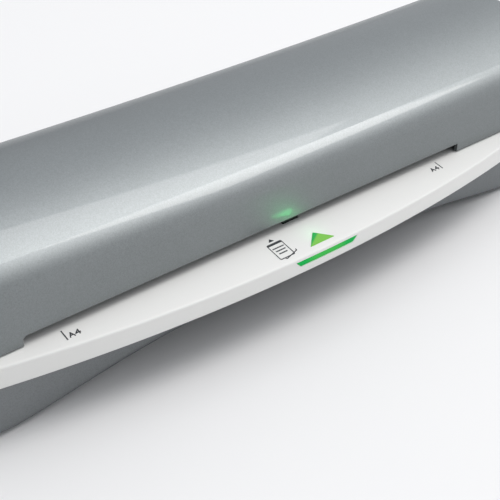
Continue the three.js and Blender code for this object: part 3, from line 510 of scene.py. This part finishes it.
# ---- the cover -------------------------------------------------------------------------------
class CoverForm:
    """The cover's section at every station along it."""

    def __init__(self, sizes):
        self.sizes = sizes
        self.nose = np.array([
            FACE_Y + sizes.nose_rise * math.tan(sizes.face_lean) + sizes.nose_radius / math.cos(sizes.face_lean),
            sizes.slot_z + sizes.nose_rise])
        self.crown = np.array([FACE_Y + sizes.crown_back, sizes.crown_z - sizes.crown_radius])
        reach = REAR_Y - sizes.heel_radius - self.crown[0]
        rise = math.sqrt((sizes.crown_radius - sizes.heel_radius) ** 2 - reach ** 2)
        self.heel = np.array([REAR_Y - sizes.heel_radius, self.crown[1] + rise])
        self.foot_z = JOINT_Z + sizes.joint_gap
        self.stations = self.place_stations()

    def place_stations(self):
        """Each station's end angle, or None and its x."""
        sizes = self.sizes
        half = HALF_WIDTH - sizes.end_round
        step = 0.02 * MM
        left, right = sizes.slot_left, sizes.slot_right
        bend = [left + sizes.slot_corner * (1 - math.cos(a)) for a in np.linspace(0, math.pi / 2, 7)]
        plain = [x for x in np.linspace(-half, half, 45) if not left - MM < x < bend[-1] + MM
                 and abs(x - right) > MM]
        places = sorted(plain + [left - step, right, right + step] + bend)
        turns = [(side, a) for side in (-1,) for a in np.linspace(0, math.pi / 2, 13)[:-1]]
        ends_left = [(side, a, None) for side, a in turns]
        ends_right = [(1, a, None) for _, a in reversed(turns)]
        return ends_left + [(0, None, x) for x in places] + ends_right

    def edge_heights(self, x):
        sizes = self.sizes
        if x is None or not sizes.slot_left <= x <= sizes.slot_right:
            return self.foot_z, self.foot_z
        rounded = max(0.0, sizes.slot_left + sizes.slot_corner - x)
        drop = sizes.slot_corner - math.sqrt(max(0.0, sizes.slot_corner ** 2 - rounded ** 2))
        return sizes.slot_z - drop, JOINT_Z + sizes.exit_rise

    def outline(self, inset, front_z, rear_z):
        """The section inset from the outside: face, nose, crease, crown, heel and rear wall."""
        sizes = self.sizes
        lean = sizes.face_lean
        nose_radius = sizes.nose_radius - inset
        crown_radius = sizes.crown_radius - inset
        heel_radius = max(sizes.heel_radius - inset, 0.2 * MM)
        crease_radius = max(sizes.crease_radius - inset, 0.2 * MM)
        crease = circle_crossing(self.nose, nose_radius - crease_radius, self.crown, crown_radius - crease_radius)
        nose_end = heading(self.nose, crease)
        crown_start = heading(self.crown, crease)
        heel_start = heading(self.crown, self.heel)
        nose = arc(self.nose, nose_radius, math.pi - lean, nose_end, 16)
        foot = [nose[0][0] - (nose[0][1] - front_z) * math.tan(lean), front_z]
        heel = arc(self.heel, heel_radius, heel_start, 0, 10)
        return chain(
            line(foot, nose[0], 6), nose,
            arc(crease, crease_radius, nose_end, crown_start, 4),
            arc(self.crown, crown_radius, crown_start, heel_start, 44),
            heel, line(heel[-1], [heel[-1][0], rear_z], 5))

    def section(self, i, inset, back):
        side, turn, x = self.stations[i]
        front_z, rear_z = self.edge_heights(x)
        shrink = 0.0
        if x is None:
            radius = self.sizes.end_round - inset
            shrink = radius * (1 - math.sin(turn))
            x = side * (HALF_WIDTH - inset - radius * (1 - math.cos(turn)))
        points = self.outline(inset + shrink, front_z + back, rear_z + back)
        share = np.clip((points[:, 1] - self.sizes.slot_z) / (self.sizes.crown_z - self.sizes.slot_z), 0, 1)
        lifted = points[:, 1] + self.sizes.end_lift * x * x * share
        return np.column_stack([np.full(len(points), x), points[:, 0], lifted])


class LAMINATOR_OT_cover(bpy.types.Operator):
    """Build the silver cover with its slots"""
    bl_idname = "laminator.cover"
    bl_label = "Cover"

    def execute(self, context):
        sizes = context.scene.laminator_cover
        form = CoverForm(sizes)
        shell = make_shell("cover_shell", form.section, len(form.stations), sizes.wall, sizes.lip)
        paint(shell, lacquer("silver_lacquer", context.scene.laminator_finishes.silver, 0.96, 0.50, 0.4))
        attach(shell, "chassis")
        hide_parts("upper_cover")
        return {"FINISHED"}


# ---- the housing -----------------------------------------------------------------------------
class HousingForm:
    """The housing's section at every station along it, from rim to rim under the floor."""

    def __init__(self, sizes):
        self.sizes = sizes
        self.stations = self.place_stations()

    def place_stations(self):
        """Stations along the lower outline: the end's rounding, the arch's slope and its flat."""
        sizes = self.sizes
        reach = HALF_WIDTH - sizes.heel_x
        ends = [(sizes.heel_x + reach * math.cos(a), sizes.heel_z + sizes.end_rise * (1 - math.sin(a)))
                for a in np.linspace(0, math.pi / 2, 17)]
        corners = np.array([[sizes.heel_x, sizes.heel_z], [sizes.heel_x - sizes.heel_ease, sizes.heel_z],
                            [sizes.arch_flat * 2, sizes.arch_z], [sizes.arch_flat, sizes.arch_z]])
        slope = []
        for t in np.linspace(0, 1, 25)[1:]:
            weights = np.array([(1 - t) ** 3, 3 * t * (1 - t) ** 2, 3 * t * t * (1 - t), t ** 3])
            slope.append(tuple(weights @ corners))
        flat = [(x, sizes.arch_z) for x in np.linspace(sizes.arch_flat, 0, 7)[1:]]
        right = ends + slope + flat
        left = [(-x, z) for x, z in right[:-1]]
        return left + right[::-1]

    def section(self, i, inset, back):
        sizes = self.sizes
        x, floor_z = self.stations[i]
        past = max(0.0, abs(x) - (HALF_WIDTH - sizes.corner_round))
        shrink = sizes.corner_round - math.sqrt(max(0.0, sizes.corner_round ** 2 - past ** 2))
        near = FACE_Y + inset + shrink
        far = REAR_Y - inset - shrink
        low = floor_z + inset
        blend = (past / sizes.corner_round) ** 2
        top = JOINT_Z - back
        radius = max(min(sizes.edge_round + blend * sizes.end_blend - inset, top - low), 0.4 * MM)
        front = arc([near + radius, low + radius], radius, math.pi, 1.5 * math.pi, 8)
        rear = arc([far - radius, low + radius], radius, 1.5 * math.pi, 2 * math.pi, 8)
        points = chain(line([near, top], front[0], 5), front, line(front[-1], rear[0], 8), rear,
                       line(rear[-1], [far, top], 5))
        across = x * (HALF_WIDTH - inset) / HALF_WIDTH
        return np.column_stack([np.full(len(points), across), points[:, 0], points[:, 1]])


def box_cutter(low, high):
    outline = [(low[0], low[1]), (high[0], low[1]), (high[0], high[1]), (low[0], high[1])]
    return make_prism("cutter", outline, low[2], high[2], lambda u, v, level: (u, v, level))


class LAMINATOR_OT_housing(bpy.types.Operator):
    """Build the dark housing with its arch, tray seat, exit slot and inlet window"""
    bl_idname = "laminator.housing"
    bl_label = "Housing"

    def execute(self, context):
        sizes = context.scene.laminator_housing
        cover = context.scene.laminator_cover
        form = HousingForm(sizes)
        shell = make_shell("housing_shell", form.section, len(form.stations), sizes.wall, 0.5 * MM)
        play = 0.3 * MM
        flange = 3 * MM
        foot_seat, screw_well = 3 * MM, 12 * MM
        seat = box_cutter((TRAY_LOW.x - play, FACE_Y - MM, TRAY_LOW.z - play),
                          (TRAY_HIGH.x + play, TRAY_HIGH.y + play, JOINT_Z + MM))
        way_out = box_cutter((cover.slot_left, REAR_Y - sizes.wall - 2 * MM, JOINT_Z - 2 * MM),
                             (cover.slot_right, REAR_Y + MM, JOINT_Z + MM))
        inlet_low, inlet_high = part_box("mains_inlet")
        middle = (inlet_low + inlet_high) / 2
        half_wide = (inlet_high.x - inlet_low.x) / 2 - flange + play
        half_tall = (inlet_high.z - inlet_low.z) / 2 - flange + play
        window = rounded_rectangle(middle.x, middle.z, half_wide, half_tall, half_tall * 0.95, 8)
        inlet = make_prism("cutter", window, REAR_Y - sizes.wall - MM, REAR_Y + MM,
                           lambda u, v, level: (u, level, v))
        holes = [seat, way_out, inlet]
        for name in sorted(frame["nodes"]):
            if name.startswith(("rubber_foot", "case_screw")):
                low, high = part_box(name)
                centre = (low + high) / 2
                radius = (high.x - low.x) / 2 + play
                ring = arc([centre.x, centre.y], radius, 0, 2 * math.pi, 32)[:-1]
                top = foot_seat if name.startswith("rubber") else screw_well
                holes.append(make_prism("cutter", ring, -MM, top, lambda u, v, level: (u, v, level)))
        cut_away(shell, *holes)
        paint(shell, lacquer("grey_lacquer", context.scene.laminator_finishes.grey, 0.8, 0.5, 0.2))
        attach(shell, "chassis")
        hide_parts("lower_housing")
        return {"FINISHED"}


def rounded_rectangle(x, y, half_wide, half_tall, radius, steps):
    quarters = []
    for k, (sx, sy) in enumerate([(1, 1), (-1, 1), (-1, -1), (1, -1)]):
        centre = [x + sx * (half_wide - radius), y + sy * (half_tall - radius)]
        quarters.append(arc(centre, radius, k * math.pi / 2, (k + 1) * math.pi / 2, steps))
    return np.vstack(quarters)


# ---- the tray --------------------------------------------------------------------------------
class TrayForm:
    """The bow-shaped tray: its front edge, its sloping top and its section at every station."""

    def __init__(self, sizes):
        self.sizes = sizes
        self.quartic = 0.93
        self.square = (sizes.reach - self.quartic * sizes.tip ** 4) / sizes.tip ** 2
        half = TRAY_HIGH.x
        self.stations = np.sin(np.linspace(-math.pi / 2, math.pi / 2, 97)) * half * 0.35 \
            + np.linspace(-half, half, 97) * 0.65

    def bow(self, x):
        """How far the front edge stands before the cover's face."""
        return self.sizes.reach - self.square * x * x - self.quartic * x ** 4

    def top_z(self, y):
        return TRAY_HIGH.z - max(0.0, FACE_Y - y) * math.tan(self.sizes.slope)

    def section(self, i, inset, back):
        sizes = self.sizes
        x = self.stations[i]
        front = FACE_Y - max(self.bow(x), -0.5 * MM) + inset
        rear = TRAY_HIGH.y - inset
        top_rear = TRAY_HIGH.z - inset
        top_front = self.top_z(front - inset) - inset
        radius = max(sizes.edge_round - inset, 0.15 * MM)
        rear_round = 0.4 * MM
        edge = arc([front + radius, top_front - radius], radius, math.pi, math.pi / 2 + sizes.slope, 8)
        foot = TRAY_LOW.z + back
        bend_y = max(FACE_Y, edge[-1][0] + 0.3 * MM)
        bend = [bend_y, self.top_z(bend_y) - inset]
        points = chain(line([front, foot], edge[0], 5), edge, line(edge[-1], bend, 6),
                       line(bend, [rear - rear_round, top_rear], 4),
                       arc([rear - rear_round, top_rear - rear_round], rear_round, math.pi / 2, 0, 4),
                       line([rear, top_rear - rear_round], [rear, foot], 4))
        across = x * (TRAY_HIGH.x - inset) / TRAY_HIGH.x
        return np.column_stack([np.full(len(points), across), points[:, 0], points[:, 1]])


def arrow_outline(sizes, grow):
    """The lit arrow's triangle, pointing at the slot, with small round corners."""
    base = FACE_Y - sizes.lamp_setback - sizes.lamp_depth - grow
    apex = FACE_Y - sizes.lamp_setback + 2 * grow
    half = sizes.lamp_half + 2 * grow
    corners = [(-half, base), (half, base), (0.0, apex)]
    radius = 0.35 * MM
    points = []
    for k, corner in enumerate(corners):
        before = np.subtract(corners[k - 1], corner)
        after = np.subtract(corners[(k + 1) % 3], corner)
        start = np.add(corner, before / np.hypot(*before) * radius * 1.6)
        end = np.add(corner, after / np.hypot(*after) * radius * 1.6)
        for t in np.linspace(0, 1, 5):
            points.append(start * (1 - t) ** 2 + np.asarray(corner) * 2 * t * (1 - t) + end * t * t)
    return points


def bar_outline(sizes, grow):
    low = sizes.bar_z - sizes.bar_thick / 2 - grow
    high = sizes.bar_z + sizes.bar_thick / 2 + grow
    return [(-sizes.bar_bottom - 1.5 * grow, low), (sizes.bar_bottom + 1.5 * grow, low),
            (sizes.bar_top + 1.5 * grow, high), (-sizes.bar_top - 1.5 * grow, high)]


class LAMINATOR_OT_tray(bpy.types.Operator):
    """Build the white tray with its openings"""
    bl_idname = "laminator.tray"
    bl_label = "Tray"

    def execute(self, context):
        sizes = context.scene.laminator_tray
        form = TrayForm(sizes)
        shell = make_shell("tray_shell", form.section, len(form.stations), sizes.wall, 0.5 * MM, sharp=40)
        lamp = make_prism("cutter", arrow_outline(sizes, 0.12 * MM), TRAY_LOW.z + 2 * MM, TRAY_HIGH.z + MM,
                          lambda u, v, level: (u, v, level))
        front = TRAY_LOW.y
        bar = make_prism("cutter", bar_outline(sizes, 0.2 * MM), front - MM, front + sizes.wall + 1.5 * MM,
                         lambda u, v, level: (u, level, v))
        lever_low, lever_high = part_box("pouch_sensor_lever")
        axle_end = 2.1 * MM
        slit = box_cutter((lever_low.x + axle_end, lever_low.y - 0.2 * MM, TRAY_HIGH.z - 3 * MM),
                          (lever_high.x - axle_end, TRAY_HIGH.y - 3 * MM, TRAY_HIGH.z + MM))
        cut_away(shell, lamp, bar, slit)
        paint(shell, moulded("white_plastic", context.scene.laminator_finishes.white, 0.42, variation=0.008,
                             IOR=1.49))
        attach(shell, "chassis")
        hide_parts("entry_tray")
        return {"FINISHED"}


class LAMINATOR_OT_lamps(bpy.types.Operator):
    """Build the lit arrow and the lit start bar"""
    bl_idname = "laminator.lamps"
    bl_label = "Lamps"

    def execute(self, context):
        sizes = context.scene.laminator_tray
        finishes = context.scene.laminator_finishes
        form = TrayForm(sizes)
        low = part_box("indicator_lens")[0].z + 1.5 * MM
        lens = make_prism("arrow_lens", arrow_outline(sizes, 0.0), 0, 1,
                          lambda u, v, level: (u, v, form.top_z(v) + 0.06 * MM if level else low),
                          bevel=0.15 * MM)
        led_low, led_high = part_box("indicator_led")
        centre = (led_low + led_high) / 2
        pipe_ring = arc([centre.x, centre.y], 1.0 * MM, 0, 2 * math.pi, 20)[:-1]
        pipe = make_prism("light_pipe", pipe_ring, led_high.z + 0.3 * MM, low + 0.1 * MM,
                          lambda u, v, level: (u, v, level))
        glow = lit_arrow(finishes, FACE_Y - sizes.lamp_setback, sizes.lamp_depth)
        paint(lens, glow)
        paint(pipe, glow)
        lens = join_pieces("arrow_lens", [lens, pipe])
        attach(lens, "chassis")
        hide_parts("indicator_lens")

        bar_low, bar_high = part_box("power_button")
        depth = 3.1 * MM
        steps = 24
        outline = bar_outline(sizes, 0.0)
        ring = chain(line(outline[0], outline[1], steps), line(outline[1], outline[2], 2),
                     line(outline[2], outline[3], steps), line(outline[3], outline[0], 2))[:-1]
        face = make_prism("start_bar", ring, 0, 1,
                          lambda u, v, level: (u, FACE_Y - form.bow(u) + (depth if level else 0.06 * MM), v),
                          bevel=0.25 * MM)
        stop_y = TRAY_LOW.y + 2.65 * MM
        stem_x = 10 * MM
        stopper = self.rib("stopper", bar_low.x, bar_high.x, sizes.bar_z, 1.1 * MM, stop_y, stop_y + MM, 0.2 * MM)
        stem = self.rib("stem", stem_x - MM, stem_x + MM, sizes.bar_z, 0.9 * MM, stop_y + 0.5 * MM, bar_high.y,
                        0.15 * MM)
        green = lit_bar(finishes, sizes.bar_top)
        for piece in (face, stopper, stem):
            paint(piece, green)
        bar = join_pieces("start_bar", [face, stopper, stem])
        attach(bar, "button")
        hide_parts("power_button")
        return {"FINISHED"}

    @staticmethod
    def rib(name, left, right, middle, half, near, far, bevel):
        """A rounded rib behind the start bar, half above and half below a level."""
        outline = [(left, middle - half), (right, middle - half), (right, middle + half), (left, middle + half)]
        return make_prism(name, outline, near, far, lambda u, v, level: (u, level, v), bevel=bevel)


# ---- printed marks ---------------------------------------------------------------------------
class Stencil:
    """Printed strokes on the tray's sloping top, gathered into one thin mesh."""

    def __init__(self, form):
        self.form = form
        self.vertices = []
        self.faces = []

    def fill(self, points):
        """A filled outline, a hair above the plastic and sunk a little into it."""
        offset = len(self.vertices)
        count = len(points)
        for rise in (-0.1 * MM, 0.02 * MM):
            self.vertices += [(u, v, self.form.top_z(v) + rise) for u, v in points]
        self.faces += [tuple(offset + i for i in range(count)), tuple(offset + count + i for i in range(count))]
        self.faces += [(offset + i, offset + (i + 1) % count, offset + count + (i + 1) % count, offset + count + i)
                       for i in range(count)]

    def stroke(self, points, width):
        for start, end in zip(points, points[1:]):
            start, end = np.asarray(start, float), np.asarray(end, float)
            way = (end - start) / np.hypot(*(end - start))
            aside = np.array([-way[1], way[0]]) * width / 2
            start, end = start - way * width / 2, end + way * width / 2
            self.fill([start - aside, end - aside, end + aside, start + aside])


class LAMINATOR_OT_marks(bpy.types.Operator):
    """Print the format marks and the pouch pictogram on the tray"""
    bl_idname = "laminator.marks"
    bl_label = "Marks"

    def execute(self, context):
        stencil = Stencil(TrayForm(context.scene.laminator_tray))
        self.format_marks(stencil, (context.scene.laminator_cover.slot_left
                                    + context.scene.laminator_cover.slot_right) / 2)
        self.pictogram(stencil, -20.1 * MM, FACE_Y - 9.8 * MM)
        marks = make_piece("tray_marks", stencil.vertices, stencil.faces)
        paint(marks, moulded("ink", context.scene.laminator_finishes.ink, 0.5, variation=0.1))
        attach(marks, "chassis")
        return {"FINISHED"}

    @staticmethod
    def format_marks(stencil, middle):
        """A tick at each edge of the widest pouch, with its paper size beside it."""
        pouch_half = 108 * MM
        thin = 0.55 * MM
        for side in (-1, 1):
            x = middle + side * pouch_half
            stencil.stroke([(x, FACE_Y - 0.4 * MM), (x, FACE_Y - 5.6 * MM)], thin)
            left = x + 1.6 * MM if side < 0 else x - 6.6 * MM
            foot = FACE_Y - 5.2 * MM
            tall = 2.2 * MM
            pen = 0.55 * MM
            stencil.stroke([(left, foot), (left + 1.05 * MM, foot + tall), (left + 2.1 * MM, foot)], pen)
            stencil.stroke([(left + 0.45 * MM, foot + 0.8 * MM), (left + 1.65 * MM, foot + 0.8 * MM)], pen)
            right = left + 2.9 * MM
            stencil.stroke([(right + 1.5 * MM, foot), (right + 1.5 * MM, foot + tall), (right, foot + 0.75 * MM),
                            (right + 2.0 * MM, foot + 0.75 * MM)], pen)

    @staticmethod
    def pictogram(stencil, x, y):
        """A headed sheet in a pouch turned a little behind it, with an arrow towards the slot."""
        pen = 0.42 * MM
        half_wide, half_tall, corner = 4.05 * MM, 5.2 * MM, 0.7 * MM

        def card(turn, side, drop):
            c, s = math.cos(turn), math.sin(turn)
            ring = rounded_rectangle(side, drop, half_wide, half_tall, corner, 3)
            return [(x + c * u - s * v, y + s * u + c * v) for u, v in np.vstack([ring, ring[:1]])]

        sheet = card(0, 0, 0)
        pouch = card(math.radians(17), 0.9 * MM, -0.3 * MM)
        stencil.stroke(sheet, pen)
        for start, end in zip(pouch, pouch[1:]):
            shares = np.linspace(0, 1, 25)[:, None]
            walk = np.asarray(start) * (1 - shares) + np.asarray(end) * shares
            hidden = (np.abs(walk[:, 0] - x) < half_wide) & (np.abs(walk[:, 1] - y) < half_tall)
            seen = walk[~hidden]
            if len(seen) > 1 and seen[0][0] > x - half_wide and seen[-1][1] < y + half_tall:
                stencil.stroke([seen[0], seen[-1]], pen)
        head = y + half_tall - 0.55 * MM
        stencil.stroke([(x - half_wide + 0.5 * MM, head), (x + half_wide - 0.5 * MM, head)], 1.1 * MM)
        for row, reach in enumerate((2.9, 2.4, 2.0)):
            level = y + (1.9 - 1.9 * row) * MM
            stencil.stroke([(x - reach * MM, level), (x + reach * MM, level)], 0.6 * MM)
        tip = y + half_tall + 3.2 * MM
        stencil.fill([(x - 1.7 * MM, tip - 1.9 * MM), (x + 1.3 * MM, tip - 1.9 * MM), (x - 0.2 * MM, tip)])


# ---- the carried-over pieces -----------------------------------------------------------------
class LAMINATOR_OT_inner(bpy.types.Operator):
    """Give every piece of the frame, drive and heaters its finish and fine edges"""
    bl_idname = "laminator.inner"
    bl_label = "Inner pieces"

    def execute(self, context):
        finishes = context.scene.laminator_finishes
        materials = {
            "dark_plastic": moulded("dark_plastic", finishes.dark, 0.55, grain=1800),
            "natural_plastic": moulded("natural_plastic", (0.70, 0.66, 0.56), 0.4, grain=900),
            "board": moulded("board", (0.015, 0.11, 0.04), 0.35, grain=600, variation=0.15),
            "silicone": moulded("silicone", (0.42, 0.06, 0.03), 0.7, grain=700, variation=0.08),
            "steel": worked_metal("steel", (0.55, 0.56, 0.57), 0.25),
            "zinc_steel": worked_metal("zinc_steel", (0.60, 0.62, 0.64), 0.38, "Z", 0.7),
            "aluminium": worked_metal("aluminium", (0.74, 0.75, 0.76), 0.32),
            "brass": worked_metal("brass", (0.72, 0.52, 0.20), 0.22, "Y"),
            "mica": moulded("mica", (0.38, 0.27, 0.12), 0.6, grain=300, variation=0.25),
            "rubber": moulded("rubber", (0.012, 0.012, 0.013), 0.8, grain=1200, variation=0.2),
        }
        slots = {row["node"]: row["material_slot"] for row in frame["record"]["subparts"]}
        for name, node in sorted(frame["nodes"].items()):
            if node.hide_render or slots[name] not in materials:
                continue
            paint(node, materials[slots[name]])
            weld = node.modifiers.new("weld", "WELD")
            weld.merge_threshold = 0.002 * MM
            round_edges(node, 0.12 * MM, 2, 40)
        return {"FINISHED"}


# ---- the stage -------------------------------------------------------------------------------
def direction(turn, rise):
    """A heading from +Y towards +X, raised above the horizon."""
    level = math.cos(rise)
    return math.sin(turn) * level, math.cos(turn) * level, math.sin(rise)


def area_light(name, place, target, size, power, tint=(1, 1, 1), size_y=None):
    lamp = bpy.data.lights.new(name, "AREA")
    lamp.shape = "RECTANGLE"
    lamp.size = size
    lamp.size_y = size_y or size
    lamp.energy = power
    lamp.color = tint
    holder = bpy.data.objects.new(name, lamp)
    holder.location = place
    holder.rotation_euler = (Vector(target) - Vector(place)).to_track_quat("-Z", "Y").to_euler()
    bpy.context.scene.collection.objects.link(holder)
    return holder


class LAMINATOR_OT_stage(bpy.types.Operator):
    """Set the floor, the light and the camera"""
    bl_idname = "laminator.stage"
    bl_label = "Stage"

    def execute(self, context):
        settings = context.scene.laminator_stage
        self.add_floor(settings)
        self.add_world(context.scene, settings)
        self.add_lights(settings, context.scene.laminator_tray)
        self.add_camera(context.scene, settings)
        context.scene.view_settings.view_transform = "Standard"
        return {"FINISHED"}

    @staticmethod
    def add_floor(settings):
        reach = 4.0
        floor = make_piece("floor", [(-reach, -reach, 0), (reach, -reach, 0), (reach, reach, 0), (-reach, reach, 0)],
                           [(0, 1, 2, 3)])
        finish = Finish("floor", Roughness=0.7, Specular_IOR_Level=0.2)
        cloud = finish.noise(3, 2, 0.5)
        finish.feed("Base Color", finish.mix(cloud, rgba(settings.floor, 0.99), rgba(settings.floor, 1.01)))
        paint(floor, finish.material)

    @staticmethod
    def add_world(scene, settings):
        """A soft studio, brighter behind and above than on the near left."""
        world = bpy.data.worlds.new("studio")
        world.use_nodes = True
        sky = Maker(world.node_tree)
        heading = sky.node("ShaderNodeTexCoord", output="Generated")
        facing = sky.node("ShaderNodeVectorMath", {"operation": "DOT_PRODUCT"},
                          {0: heading, 1: direction(settings.sky_turn, settings.sky_rise)}, output="Value")
        share = sky.node("ShaderNodeMapRange", {"interpolation_type": "SMOOTHSTEP"},
                         {"Value": facing, "From Min": settings.sky_dark_from, "From Max": settings.sky_full_from,
                          "To Min": 0.0, "To Max": 1.0})
        tone = sky.mix(share, rgba(settings.sky_dim), rgba(settings.sky_bright))
        world.node_tree.links.new(tone.socket, world.node_tree.nodes["Background"].inputs["Color"])
        scene.world = world

    @staticmethod
    def add_lights(settings, tray):
        target = Vector((0, 0, 0.05))
        key = Vector(direction(settings.key_turn, settings.key_rise))
        area_light("key", target + key * settings.key_distance, target, settings.key_distance / 2,
                   settings.key_power, (1.0, 0.98, 0.96))
        strip_way = Vector(direction(settings.strip_turn, settings.strip_rise))
        strip = area_light("strip", target + strip_way * settings.key_distance, target, settings.strip_width,
                           settings.strip_power, (1.0, 0.965, 0.94), settings.strip_height)
        lit = bpy.data.collections.new("lit_by_strip")
        lit.objects.link(bpy.data.objects["cover_shell"])
        strip.light_linking.receiver_collection = lit
        apex = Vector((0, FACE_Y - tray.lamp_setback, TRAY_HIGH.z))
        rows = 4
        for row in range(rows):
            back = tray.lamp_depth * (row + 0.5) / rows
            place = apex + Vector((0, -back, 0.3 * MM - back * math.tan(tray.slope)))
            wide = 2 * tray.lamp_half * (row + 0.5) / rows
            area_light("lamp_glow", place, place + Vector((0, 8 * MM, 14 * MM)), wide,
                       settings.glow_power * (row + 0.5), (0.12, 1.0, 0.30), tray.lamp_depth / rows)

    @staticmethod
    def add_camera(scene, settings):
        data = bpy.data.cameras.new("camera")
        data.lens = settings.lens
        data.clip_start = 0.01
        holder = bpy.data.objects.new("camera", data)
        holder.location = settings.camera_place
        level = math.cos(settings.camera_fall)
        ahead = Vector((math.sin(settings.camera_turn) * level, math.cos(settings.camera_turn) * level,
                        -math.sin(settings.camera_fall)))
        holder.rotation_euler = ahead.to_track_quat("-Z", "Y").to_euler()
        scene.collection.objects.link(holder)
        scene.camera = holder


# ---- panel and registration ------------------------------------------------------------------
OPERATORS = (LAMINATOR_OT_cover, LAMINATOR_OT_housing, LAMINATOR_OT_tray, LAMINATOR_OT_lamps,
             LAMINATOR_OT_marks, LAMINATOR_OT_inner, LAMINATOR_OT_stage)
SETTINGS = {"laminator_cover": CoverSizes, "laminator_housing": HousingSizes, "laminator_tray": TraySizes,
            "laminator_finishes": Finishes, "laminator_stage": StageSettings}


class LAMINATOR_PT_build(bpy.types.Panel):
    """Lists the steps that build the laminator"""
    bl_idname = "LAMINATOR_PT_build"
    bl_label = "Laminator"
    bl_space_type = "VIEW_3D"
    bl_region_type = "UI"
    bl_category = "Laminator"

    def draw(self, context):
        for operator in OPERATORS:
            self.layout.operator(operator.bl_idname)


def register():
    for cls in (*SETTINGS.values(), *OPERATORS, LAMINATOR_PT_build):
        bpy.utils.register_class(cls)
    for name, group in SETTINGS.items():
        setattr(bpy.types.Scene, name, PointerProperty(type=group))


def unregister():
    for name in SETTINGS:
        delattr(bpy.types.Scene, name)
    for cls in (LAMINATOR_PT_build, *reversed(OPERATORS), *reversed(tuple(SETTINGS.values()))):
        bpy.utils.unregister_class(cls)


def main():
    register()
    for operator in OPERATORS:
        group, name = operator.bl_idname.split(".")
        getattr(getattr(bpy.ops, group), name)()


if __name__ == "__main__":
    main()
